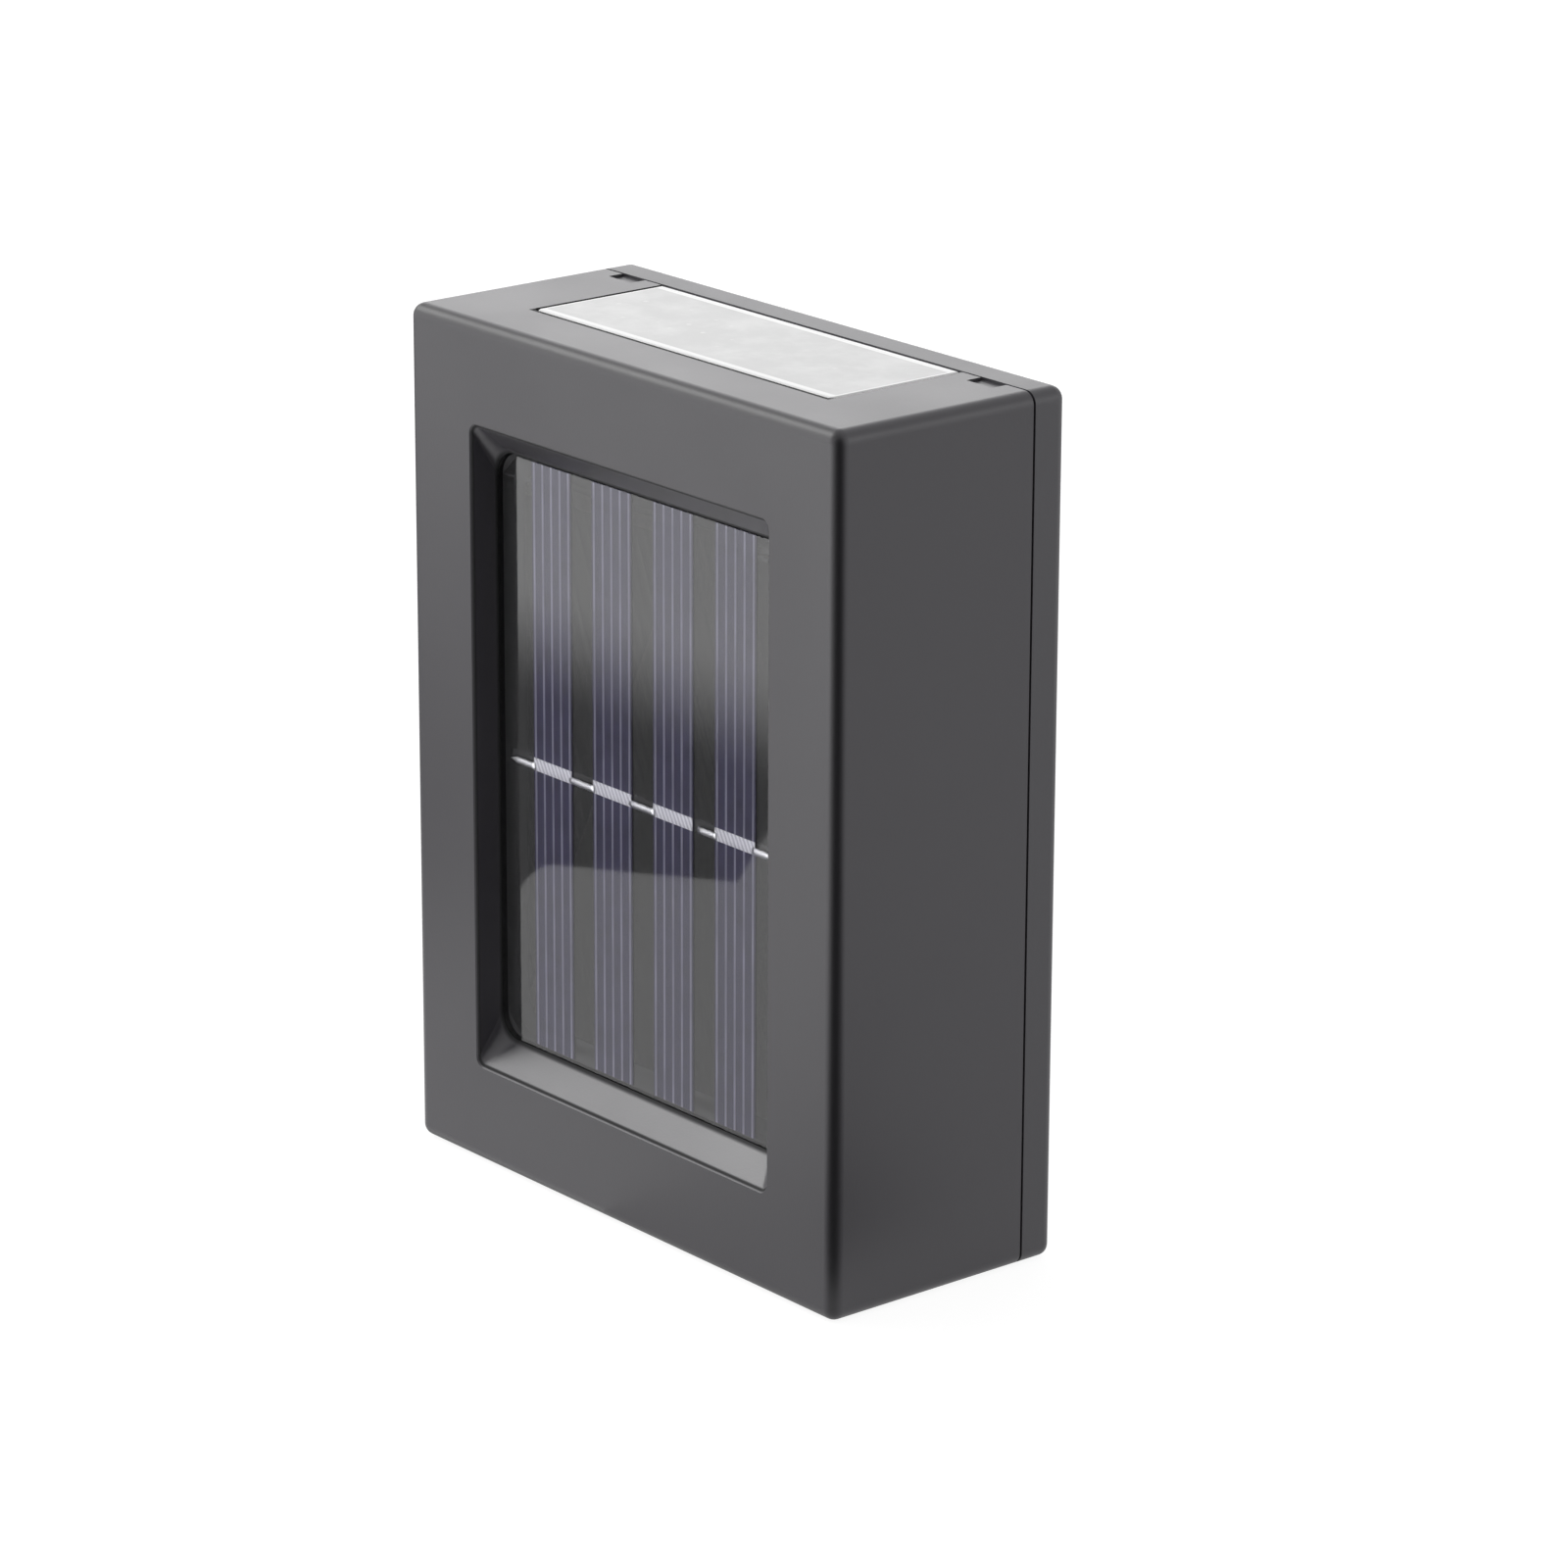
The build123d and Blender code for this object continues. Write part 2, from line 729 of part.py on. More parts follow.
def contact(side):
    """Plate inside an end wall, with a strap over the wall to the solder tab."""
    plate_x = side * (holder_inner - contact_thickness) / 2
    low = battery_level - contact_width / 2
    high = battery_level + contact_width / 2
    strap_top = strap_reach - contact_thickness
    plate = block(contact_thickness, strap_reach, battery_reach + contact_width / 2, low, high, plate_x)
    reach_x = holder_wall + contact_thickness + contact_tab_length
    strap_x = side * (holder_inner / 2 - contact_thickness + reach_x / 2)
    tab_low = strap_level - contact_tab_width
    return plate + block(reach_x, strap_top, strap_reach, tab_low, strap_level, strap_x)


def battery_spring():
    """Negative contact with its coil, which presses on the cell."""
    start = -holder_inner / 2 + contact_thickness + spring_wire
    climb = spring_length - 2 * spring_wire
    count = spring_steps * spring_turns
    places = []
    for number in range(count + 1):
        turned = radians(360 * number / spring_steps)
        out = -battery_reach + spring_radius * cos(turned)
        places.append((start + climb * number / count, out, battery_level + spring_radius * sin(turned)))
    return [contact(-1), follow(places, spring_wire, wire_sides)]


# Wires.

def battery_wire(side):
    """From a battery contact up beside the holder and across to the control board."""
    reach = strap_reach - contact_thickness / 2
    x = side * (holder_length / 2 + contact_tab_length - wire_radius - contact_thickness)
    landing = side * battery_wire_landing_x
    level = control_bottom + battery_wire_landing
    points = [(x, reach, strap_level), (x, reach, level)]
    points += [(landing, reach, level), (landing, control_back, level)]
    return wire(points)


def panel_wire(side):
    """From the panel through the bed and over the top edge of the control board."""
    x = panel_wire_x + side * wire_pitch / 2
    loop = control_back - panel_wire_loop
    landing = control_top - panel_wire_landing
    points = [(x, panel_back, panel_wire_level), (x, loop, panel_wire_level)]
    points += [(x, loop, landing), (x, control_back, landing)]
    return wire(points)


def top_led_wires():
    """Two wires from the top LED board down to the top edge of the control board."""
    pair = []
    drop = (shelf_top - control_top) / 3
    for side in (-1, 1):
        x = led_wire_x + side * wire_pitch / 2
        landing = x + led_wire_jog
        points = [(x, led_wire_reach, shelf_top), (x, led_wire_reach, shelf_top - drop)]
        points += [(landing, wire_reach, control_top + drop), (landing, wire_reach, control_top)]
        pair.append(wire(points))
    return pair


def bottom_led_wires():
    """Two wires from the bottom LED board along the side wall to the control board."""
    pair = []
    side_x = inner_width / 2 - low_wire_wall
    turn = -shelf_top + low_wire_turn
    level = control_bottom - low_wire_drop
    for side in (-1, 1):
        shift = side * wire_pitch / 2
        reach = low_wire_reach + shift
        landing = low_wire_landing_x + shift
        points = [(low_wire_x, reach, -shelf_top), (low_wire_x, reach, turn), (side_x, reach, turn)]
        points += [(side_x, reach, level), (landing, reach, level)]
        points.append((landing, wire_reach, control_bottom - wire_radius))
        pair.append(wire(points))
    return pair


def mirrored(shapes):
    """The same piece or pieces for the bottom window."""
    if isinstance(shapes, list):
        return [mirror(shape, about=Plane.XY) for shape in shapes]
    return mirror(shapes, about=Plane.XY)


pieces = {
    "front_housing": front_housing(),
    "panel_adhesive": panel_adhesive(),
    "solar_board": solar_board(),
    "solar_cells": solar_cells(),
    "cell_pads": cell_pads(),
    "cell_ribbons": cell_ribbons(),
    "solar_resin": solar_resin(),
    "top_lens": lens(),
    "bottom_lens": mirrored(lens()),
    "top_reflector": reflector(),
    "bottom_reflector": mirrored(reflector()),
    "top_led_board": led_board(),
    "bottom_led_board": mirrored(led_board()),
    "top_leds": leds(),
    "bottom_leds": mirrored(leds()),
    "rear_cover": rear_cover(),
    "cover_gasket": cover_gasket(),
    "cover_screws": cover_screws(),
    "control_board": control_board(),
    "board_screws": board_screws(),
    "driver_chip": driver_chip(),
    "inductor": inductor(),
    "capacitor": capacitor(),
    "switch_body": switch_body(),
    "switch_plunger": switch_plunger(),
    "button_cap": button_cap(),
    "battery_holder": battery_holder(),
    "battery_cell": battery_cell(),
    "battery_spring": battery_spring(),
    "battery_plate": contact(1),
    "battery_wire_red": battery_wire(1),
    "battery_wire_black": battery_wire(-1),
    "panel_wire_red": panel_wire(1),
    "panel_wire_black": panel_wire(-1),
    "top_led_wires": top_led_wires(),
    "bottom_led_wires": bottom_led_wires(),
}
for name, piece in pieces.items():
    save(name, Compound(children=piece) if isinstance(piece, list) else piece)
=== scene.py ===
import math
import json
import bmesh
import bpy
from mathutils import Matrix, Vector

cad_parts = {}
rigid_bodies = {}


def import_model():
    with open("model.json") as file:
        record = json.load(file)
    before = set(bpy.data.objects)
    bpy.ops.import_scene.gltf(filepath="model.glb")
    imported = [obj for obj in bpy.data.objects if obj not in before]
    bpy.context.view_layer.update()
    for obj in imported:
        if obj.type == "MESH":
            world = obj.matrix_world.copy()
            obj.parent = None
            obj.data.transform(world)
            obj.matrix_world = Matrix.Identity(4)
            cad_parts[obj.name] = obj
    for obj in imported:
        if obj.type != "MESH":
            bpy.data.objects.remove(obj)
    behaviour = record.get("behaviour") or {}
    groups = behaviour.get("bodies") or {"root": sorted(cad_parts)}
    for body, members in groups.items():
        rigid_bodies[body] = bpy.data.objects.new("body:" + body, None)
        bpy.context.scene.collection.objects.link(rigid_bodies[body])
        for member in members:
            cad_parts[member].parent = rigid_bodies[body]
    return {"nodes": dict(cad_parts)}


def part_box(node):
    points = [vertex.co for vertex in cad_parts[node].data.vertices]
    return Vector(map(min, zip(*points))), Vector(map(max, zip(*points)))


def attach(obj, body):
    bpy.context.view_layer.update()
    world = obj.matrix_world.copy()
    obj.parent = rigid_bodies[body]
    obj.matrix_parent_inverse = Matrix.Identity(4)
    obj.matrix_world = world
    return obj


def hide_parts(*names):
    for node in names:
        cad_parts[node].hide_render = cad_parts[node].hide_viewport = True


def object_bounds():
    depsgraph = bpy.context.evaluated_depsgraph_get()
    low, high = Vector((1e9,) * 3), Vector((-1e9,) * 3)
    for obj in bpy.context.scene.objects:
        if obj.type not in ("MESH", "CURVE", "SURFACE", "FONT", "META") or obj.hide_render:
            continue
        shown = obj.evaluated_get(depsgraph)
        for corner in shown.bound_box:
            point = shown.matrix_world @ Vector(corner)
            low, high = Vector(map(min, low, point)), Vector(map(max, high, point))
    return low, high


for spare in list(bpy.data.objects):
    bpy.data.objects.remove(spare)
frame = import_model()
cad_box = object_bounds()
node = frame["nodes"]

# ---- Camera. The light is seen from above, front right, through a long lens. Its angles, distance
# and small sideways moves were fitted to the edges of the case in the photograph.

azimuth, elevation, roll = (math.radians(angle) for angle in (50.2321, 17.8817, 0.2364))
camera_distance = 0.71649
camera_aside = (-0.0060912, -0.0038683)
back = Vector((
    math.sin(azimuth) * math.cos(elevation),
    -math.cos(azimuth) * math.cos(elevation),
    math.sin(elevation),
))
level_right = Vector((math.cos(azimuth), math.sin(azimuth), 0))
level_up = back.cross(level_right)
right = level_right * math.cos(roll) + level_up * math.sin(roll)
up = level_up * math.cos(roll) - level_right * math.sin(roll)
camera_data = bpy.data.cameras.new("camera")
camera_data.sensor_width = 36
camera_data.lens = 144.87
camera_data.clip_start = 0.01
camera = bpy.data.objects.new("camera", camera_data)
bpy.context.scene.collection.objects.link(camera)
place = back * camera_distance + right * camera_aside[0] + up * camera_aside[1]
turn = Matrix((right, up, back)).transposed().to_4x4()
camera.matrix_world = Matrix.Translation(place) @ turn
bpy.context.scene.camera = camera
bpy.context.scene.view_settings.view_transform = "Standard"


# ---- Studio. A white room: everything the camera, a gloss or a clear part sees is white, and what
# lights the matt faces is a little dimmer, so that pale parts keep their tone. Four soft lamps stand
# round the light, and the pale floor under it takes its shadow.

class Wire:
    """One socket of a node tree. Sums on it add Math nodes, and node() adds any other node."""

    def __init__(self, tree, socket=None):
        self.tree = tree
        self.socket = socket

    def node(self, kind, settings=None, values=None, out=0):
        made = self.tree.nodes.new(kind)
        for name, value in (settings or {}).items():
            setattr(made, name, value)
        for key, value in (values or {}).items():
            socket = made.inputs[key]
            if isinstance(value, Wire):
                self.tree.links.new(value.socket, socket)
            elif isinstance(value, tuple) and len(value) == 3 and socket.type == "RGBA":
                socket.default_value = (*value, 1)
            else:
                socket.default_value = value
        return Wire(self.tree, made.outputs[out] if made.outputs else None)

    def at(self, out):
        return Wire(self.tree, self.socket.node.outputs[out])

    def sum(self, operation, *values):
        return self.node("ShaderNodeMath", {"operation": operation}, dict(enumerate(values)))

    def __add__(self, other):
        return self.sum("ADD", self, other)

    def __radd__(self, other):
        return self.sum("ADD", other, self)

    def __sub__(self, other):
        return self.sum("SUBTRACT", self, other)

    def __rsub__(self, other):
        return self.sum("SUBTRACT", other, self)

    def __mul__(self, other):
        return self.sum("MULTIPLY", self, other)

    def __rmul__(self, other):
        return self.sum("MULTIPLY", other, self)

    def __truediv__(self, other):
        return self.sum("DIVIDE", self, other)

    def __gt__(self, other):
        return self.sum("GREATER_THAN", self, other)

    def __lt__(self, other):
        return self.sum("LESS_THAN", self, other)

    def size(self):
        return self.sum("ABSOLUTE", self)

    def larger(self, other):
        return self.sum("MAXIMUM", self, other)

    def root(self):
        return self.sum("SQRT", self)

    def sine(self):
        return self.sum("SINE", self)

    def ramp(self, low, high):
        """0 below low, 1 above high, and a smooth rise between."""
        return self.node("ShaderNodeMapRange", {"interpolation_type": "SMOOTHSTEP"},
                         {"Value": self, "From Min": low, "From Max": high})

    def mix(self, first, second):
        """Colour between two others, by this value."""
        return self.node("ShaderNodeMix", {"data_type": "RGBA"}, {0: self, 6: first, 7: second}, out=2)

    def axes(self):
        """The three numbers of this vector."""
        parts = self.node("ShaderNodeSeparateXYZ", values={0: self})
        return parts.at("X"), parts.at("Y"), parts.at("Z")

    def vector(self, x=0.0, y=0.0, z=0.0):
        return self.node("ShaderNodeCombineXYZ", values={0: x, 1: y, 2: z})


def blank_tree(owner):
    """Empties the node tree of a world or a material, and gives a first wire in it."""
    owner.use_nodes = True
    owner.node_tree.nodes.clear()
    return Wire(owner.node_tree)


def looked_at(ink):
    """1 where the camera, a gloss or a clear part looks, and 0 where light falls on a matt face."""
    ray = ink.node("ShaderNodeLightPath")
    return ray.at("Is Camera Ray").larger(ray.at("Is Glossy Ray")).larger(ray.at("Is Transmission Ray"))


white = (1, 1, 1)
room_matt_light = 0.62
room_seen_light = 1.0
world = bpy.data.worlds.new("studio")
bpy.context.scene.world = world
air = blank_tree(world)
matt = air.node("ShaderNodeBackground", values={"Color": white, "Strength": room_matt_light})
seen = air.node("ShaderNodeBackground", values={"Color": white, "Strength": room_seen_light})
room = air.node("ShaderNodeMixShader", values={0: looked_at(air), 1: matt, 2: seen})
air.node("ShaderNodeOutputWorld", values={0: room})


def new_object(name, mesh, material=None):
    made = bpy.data.objects.new(name, mesh)
    bpy.context.scene.collection.objects.link(made)
    if material:
        mesh.materials.append(material)
    return made


def sheet_mesh(name, corners):
    mesh = bpy.data.meshes.new(name)
    mesh.from_pydata([tuple(corner) for corner in corners], [], [tuple(range(len(corners)))])
    return mesh


square = ((-1, -1), (1, -1), (1, 1), (-1, 1))
floor_gap = 0.0001
floor_half = 3.0
floor_grey = (0.8, 0.8, 0.8)
floor_shadow_grey = (0.22, 0.22, 0.22)
floor_glow = 0.9
floor_level = cad_box[0].z - floor_gap
floor_paint = bpy.data.materials.new("floor_white")
ink = blank_tree(floor_paint)
plain = ink.node("ShaderNodeBsdfDiffuse", values={"Color": floor_grey})
faint = ink.node("ShaderNodeBsdfDiffuse", values={"Color": floor_shadow_grey})
bright = ink.node("ShaderNodeEmission", values={"Color": white, "Strength": floor_glow})
shown = ink.node("ShaderNodeAddShader", values={0: faint, 1: bright})
both = ink.node("ShaderNodeMixShader", values={0: looked_at(ink), 1: plain, 2: shown})
ink.node("ShaderNodeOutputMaterial", values={0: both})
floor_corners = [(x * floor_half, y * floor_half, floor_level) for x, y in square]
floor = new_object("floor", sheet_mesh("floor", floor_corners), floor_paint)


def softbox(name, centre, aim, width, height, radiance):
    """Lamp with a flat face of the given radiance, turned to a point."""
    lamp = bpy.data.lights.new(name, "AREA")
    lamp.shape = "RECTANGLE"
    lamp.size = width
    lamp.size_y = height
    lamp.energy = radiance * math.pi * width * height
    made = bpy.data.objects.new(name, lamp)
    bpy.context.scene.collection.objects.link(made)
    way = (Vector(centre) - Vector(aim)).to_track_quat("Z", "Y")
    made.matrix_world = Matrix.Translation(centre) @ way.to_matrix().to_4x4()
    made.visible_camera = False


softbox("back_softbox", (-0.72, 0.60, 0.30), aim=(0, 0, 0.04), width=0.8, height=0.45, radiance=2.1)
softbox("high_softbox", (-0.80, -0.34, 0.67), aim=(0, 0, 0), width=0.5, height=0.5, radiance=6.5)
softbox("side_softbox", (0.75, 0.58, 0.28), aim=(0, 0, 0), width=0.5, height=0.5, radiance=1.6)
softbox("key_softbox", (-0.85, -0.95, 0.35), aim=(0, 0, 0), width=0.7, height=0.7, radiance=2.0)


# ---- Flag and floor cards. In the photograph the edge nearest the camera and the inner wall of the
# bezel are dark, and the panel mirrors a pale floor with a dark band across it. Black flags and a
# painted card make these reflections; the camera doesn't see them, and they throw no shadow.

def card(name, corners, matt_too=False):
    """Flat card for reflections, with a wire in its paint."""
    paint = bpy.data.materials.new(name)
    ink = blank_tree(paint)
    made = new_object(name, sheet_mesh(name, corners), paint)
    made.visible_camera = False
    made.visible_diffuse = matt_too
    made.visible_shadow = False
    made.visible_transmission = False
    return ink


def glow(ink, shade):
    """Ends a card's paint with the light that it shows."""
    light = ink.node("ShaderNodeEmission", values={"Color": shade})
    ink.node("ShaderNodeOutputMaterial", values={0: light})


def around(angle, distance, height):
    """Point at an azimuth round the light, in degrees."""
    angle = math.radians(angle)
    return (math.sin(angle) * distance, -math.cos(angle) * distance, height)


def sector(first, last, near, far, height):
    """Corners of a level sector of a ring round the light, 11 degrees apart."""
    angles = range(first, last + 1, 11)
    outer = [around(angle, far, height) for angle in angles]
    return outer + [around(angle, near, height) for angle in reversed(angles)]


flag_black = (0.02, 0.02, 0.02)
flag_start = 20
flag_end = 80
flag_distance = 0.8
flag_top = 0.70
flag_corners = [
    around(flag_start, flag_distance, floor_level), around(flag_end, flag_distance, floor_level),
    around(flag_end, flag_distance, flag_top), around(flag_start, flag_distance, flag_top),
]
glow(card("edge_flag", flag_corners, matt_too=True), flag_black)
floor_flag_corners = sector(flag_start, 86, near=0.055, far=0.81, height=floor_level + 0.002)
glow(card("floor_flag", floor_flag_corners), flag_black)

# A ray that the panel mirrors goes left and forward as it falls, by these amounts for each metre down.
# So each point of the floor card shows at one point of the panel: at a height above the floor, and
# across the panel from its middle. The card is painted by these two.
fall_left = back.x / back.z
fall_front = -back.y / back.z
mirror_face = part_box("solar_resin")[0].y
near_top = 0.0383
near_tilt = 0.19
near_corner = 0.0080
near_edge = -0.0300
near_bend = 0.0155
near_bend_tilt = 1.15
near_blur = 0.0003
far_start = 0.055
far_full = 0.075
far_light = 2.2
gap_light = 0.25
near_light = 1.4
ink = card("floor_card", sector(-115, -5, near=0.03, far=0.9, height=floor_level + 0.001))
x, y, z = ink.node("ShaderNodeTexCoord").at("Object").axes()
height = (mirror_face - y) / fall_front
across = x + height * fall_left
inset = (near_edge + near_corner - across).larger(0) / near_corner
round_off = near_corner * (1 - (1 - inset * inset).larger(0).root())
bend = (across - near_bend).larger(0) * near_bend_tilt
near_level = near_top + across * near_tilt - round_off + bend
near_part = (near_level - height).ramp(-near_blur, near_blur)
far_part = height.ramp(far_start, far_full)
shine = gap_light + near_part * (near_light - gap_light) + far_part * (far_light - gap_light)
glow(ink, ink.node("ShaderNodeCombineColor", values={0: shine, 1: shine, 2: shine}))


# ---- Front housing. One injection moulding in charcoal plastic with a fine spark-eroded skin: the
# outer shell, the sloped bezel, the panel's bed, the shelves, bosses and posts are all one piece.
# The panel's board lies in its bed on pale adhesive.

slow_scale = 60.0
gloss_change = 0.1
grain_strength = 0.6


def skin(name, base, roughness, grain=0.00018, depth=0.00001, metallic=0.0, blotch=0.12,
         specular=0.5, pattern=None):
    """Finish of a piece: fine grain in the bump, and slow changes of tone and gloss. A pattern
    gives the colour instead of the base, and may change the look's height and roughness."""
    made = bpy.data.materials.new(name)
    ink = blank_tree(made)
    where = ink.node("ShaderNodeTexCoord").at("Object")
    fine = ink.node("ShaderNodeTexNoise", values={"Vector": where, "Scale": 1 / grain, "Detail": 2.0})
    slow = ink.node("ShaderNodeTexNoise", values={"Vector": where, "Scale": slow_scale, "Detail": 3.0})
    look = {"height": fine, "roughness": roughness}
    shade = pattern(ink, where, look) if pattern else base
    tone = 1 - blotch / 2 + slow * blotch
    bump = ink.node("ShaderNodeBump", values={
        "Height": look["height"], "Strength": grain_strength, "Distance": depth,
    })
    surface = ink.node("ShaderNodeBsdfPrincipled", values={
        "Base Color": tone.mix((0, 0, 0), shade),
        "Roughness": look["roughness"] - gloss_change / 2 + slow * gloss_change,
        "Metallic": metallic, "Specular IOR Level": specular, "Normal": bump,
    })
    ink.node("ShaderNodeOutputMaterial", values={0: surface})
    return made


def dress(name, material):
    """Gives a CAD node's slots a material."""
    for number in range(len(node[name].data.materials)):
        node[name].data.materials[number] = material


half_width = cad_box[1].x
half_height = cad_box[1].z
front_face = cad_box[0].y
window_half_width = 0.0262
window_half_height = 0.0382
lens_top = [corner.co for corner in node["top_lens"].data.vertices if corner.co.z > half_height - 0.0002]
lens_right = max(corner.x for corner in lens_top)
lens_front = min(corner.y for corner in lens_top)
lens_back = max(corner.y for corner in lens_top)
case_shade = (0.046, 0.0435, 0.0505)
# Painted shade: the next colour darkens the rounded front edges of the case, in place of their dark
# reflection.
painted_edge_shade = (0.016, 0.015, 0.018)
# Painted shade: the next colour paints dark lines along the bezel's lip and foot and round the seat of the
# lens.
painted_line_shade = (0.010, 0.010, 0.011)
edge_reach = (-0.0013, -0.0005)
edge_depth = (0.0005, 0.0014)
slope_depth = (0.0001, 0.0002)
lip_depth = (0.0003, 0.0005)
foot_depth = (-0.0005, -0.0001)
seat_sink = 0.0003
seat_side = 0.0004
seat_front = 0.0008
slope_polish = 0.09
right_polish = 2.2
line_roughness = 0.5


def moulded_with_painted_shade(ink, where, look):
    """Charcoal plastic with painted shade: darker front edges in place of their dark reflection, polished
    slopes, and dark dull lines of painted shade where the bezel's lip and foot and the seat of the lens
    are."""
    x, y, z = where.axes()
    behind = y - front_face
    # Painted shade: the rounded front edges are darkened in the colour.
    side_edge = (x.size() - half_width).ramp(*edge_reach)
    end_edge = (z.size() - half_height).ramp(*edge_reach)
    edge = (1 - behind.ramp(*edge_depth)) * side_edge.larger(end_edge)
    within = (x.size() < window_half_width) * (z.size() < window_half_height)
    slope = within * behind.ramp(*slope_depth)
    # Painted shade: dark lines along the bezel's lip and foot, and round the seat of the lens.
    lip = slope * (1 - behind.ramp(*lip_depth))
    foot = slope * (y - mirror_face).ramp(*foot_depth)
    at_end = z.size() > half_height - seat_sink
    seat = at_end * (x.size() < lens_right + seat_side) * (y > lens_front - seat_front)
    line = lip.larger(foot).larger(seat)
    polish = slope * slope_polish + (slope * x.larger(0)) * right_polish
    look["roughness"] = look["roughness"] - polish + line * line_roughness
    return line.mix(edge.mix(case_shade, painted_edge_shade), painted_line_shade)


case_skin = skin("case_plastic_skin", None, 0.43, grain=0.00022, depth=0.000014, pattern=moulded_with_painted_shade)
dress("front_housing", case_skin)
dress("panel_adhesive", skin("adhesive_skin", (0.72, 0.70, 0.64), 0.8, grain=0.0006, depth=0.00004))
dress("solar_board", skin("panel_board_skin", (0.068, 0.068, 0.069), 0.6, grain=0.0004))


# ---- Cell strips. Four upright strips of silicon, bluish violet, each with a fine printed grid of
# silver lines along it and a hatched solder pad across its middle. Tinned ribbons join the pads,
# soldered at both ends.

crystal_scale = 420.0


def crystal(ink, where, look):
    """Silicon: broad flecks of slightly different violet."""
    flecks = ink.node("ShaderNodeTexVoronoi", values={"Vector": where, "Scale": crystal_scale})
    return flecks.at("Distance").ramp(0.1, 0.7).mix((0.040, 0.035, 0.098), (0.052, 0.045, 0.125))


cell_skin = skin("cell_silicon_skin", None, 0.4, grain=0.0009, pattern=crystal)
dress("solar_cells", cell_skin)
cells_low, cells_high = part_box("solar_cells")
board_low, board_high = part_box("solar_board")


def geometry_tree(name, sizes):
    """Geometry Nodes tree with named sizes, given as the wires of its inputs."""
    tree = bpy.data.node_groups.new(name, "GeometryNodeTree")
    tree.interface.new_socket("Geometry", in_out="OUTPUT", socket_type="NodeSocketGeometry")
    for label, value in sizes.items():
        kind = "NodeSocketInt" if isinstance(value, int) else "NodeSocketFloat"
        if isinstance(value, bpy.types.Object):
            kind = "NodeSocketObject"
        tree.interface.new_socket(label, in_out="INPUT", socket_type=kind)
    return Wire(tree).node("NodeGroupInput")


def grown_mesh(grown, sizes, material):
    """Ends a tree, sets its sizes and gives the plain mesh that it makes."""
    real = grown.node("GeometryNodeRealizeInstances", values={0: grown})
    painted = real.node("GeometryNodeSetMaterial", values={"Geometry": real, "Material": material})
    painted.node("NodeGroupOutput", values={0: painted})
    tree = grown.tree
    maker = new_object(tree.name + "_maker", bpy.data.meshes.new(tree.name + "_maker"))
    modifier = maker.modifiers.new(tree.name, "NODES")
    modifier.node_group = tree
    for item in tree.interface.items_tree:
        if item.in_out == "INPUT":
            modifier[item.identifier] = sizes[item.name]
    ready = maker.evaluated_get(bpy.context.evaluated_depsgraph_get())
    mesh = bpy.data.meshes.new_from_object(ready)
    bpy.data.objects.remove(maker)
    return mesh


def carried(name, mesh, body, slot, *replaced):
    """Finished piece that rides on a body and may stand for CAD nodes, which it hides. The slot is not
    used.
    """
    made = new_object(name, mesh)
    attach(made, body)
    if replaced:
        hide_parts(*replaced)


def moved(geometry, shift=(0, 0, 0), turn=(0, 0, 0), stretch=(1, 1, 1)):
    """Geometry in another place."""
    return geometry.node("GeometryNodeTransform", values={
        "Geometry": geometry, "Translation": shift, "Rotation": turn, "Scale": stretch,
    })


def row(size, thing, count, pitch):
    """Copies in a row along X, centred."""
    start = size.vector(x=(count - 1) * pitch * -0.5)
    points = size.node("GeometryNodeMeshLine", values={
        "Count": count, "Start Location": start, "Offset": size.vector(x=pitch),
    })
    return size.node("GeometryNodeInstanceOnPoints", values={"Points": points, "Instance": thing})


quarter_turn = math.pi / 2
strip_count = 4
strip_width = 0.007
strip_pitch = (cells_high.x - cells_low.x - strip_width) / (strip_count - 1)
strip_end_gap = 0.0002
strip_length = board_high.z - board_low.z - 2 * strip_end_gap
strip_sizes = {
    "Strips": strip_count,
    "Strip pitch": strip_pitch,
    "Strip width": strip_width,
    "Thickness": cells_high.y - cells_low.y,
    "Length": strip_length,
    "Middle": (cells_high.y + cells_low.y) / 2,
}
size = geometry_tree("cell_strips", strip_sizes)
block = size.vector(size.at("Strip width"), size.at("Thickness"), size.at("Length"))
strip = size.node("GeometryNodeMeshCube", values={"Size": block})
strips = row(size, strip, size.at("Strips"), size.at("Strip pitch"))
strips = moved(strips, size.vector(y=size.at("Middle")))
strip_mesh = grown_mesh(strips, strip_sizes, cell_skin)
carried("cell_strips", strip_mesh, "light_body", "cell_silicon", "solar_cells")


print_across = 900.0
print_along = 160.0


def printed(ink, where, look):
    """Printed silver: the line fades and thickens a little along its length."""
    x, y, z = where.axes()
    along = ink.vector(x=x * print_across, z=z * print_along)
    worn = ink.node("ShaderNodeTexNoise", values={"Vector": along, "Scale": 1.0, "Detail": 2.0})
    return worn.ramp(0.3, 0.7).mix((0.30, 0.29, 0.41), (0.45, 0.44, 0.58))


line_lift = 0.00001
line_skin = skin("grid_line_skin", None, 0.42, grain=0.0004, pattern=printed)
line_sizes = {
    "Strips": strip_count,
    "Strip pitch": strip_pitch,
    "Lines": 5,
    "Line pitch": 0.00155,
    "Line width": 0.00034,
    "Length": strip_length,
    "Face": cells_low.y - line_lift,
}
size = geometry_tree("grid_lines", line_sizes)
line = size.node("GeometryNodeMeshGrid", values={
    "Size X": size.at("Line width"), "Size Y": size.at("Length"), "Vertices X": 2, "Vertices Y": 2,
})
lines = row(size, line, size.at("Lines"), size.at("Line pitch"))
lines = row(size, lines, size.at("Strips"), size.at("Strip pitch"))
lines = moved(lines, size.vector(y=size.at("Face")), turn=(quarter_turn, 0, 0))
carried("grid_lines", grown_mesh(lines, line_sizes, line_skin), "light_body", "cell_silicon")


thread_rate = 9200.0
thread_slant = 0.55
spot_scale = 1900.0


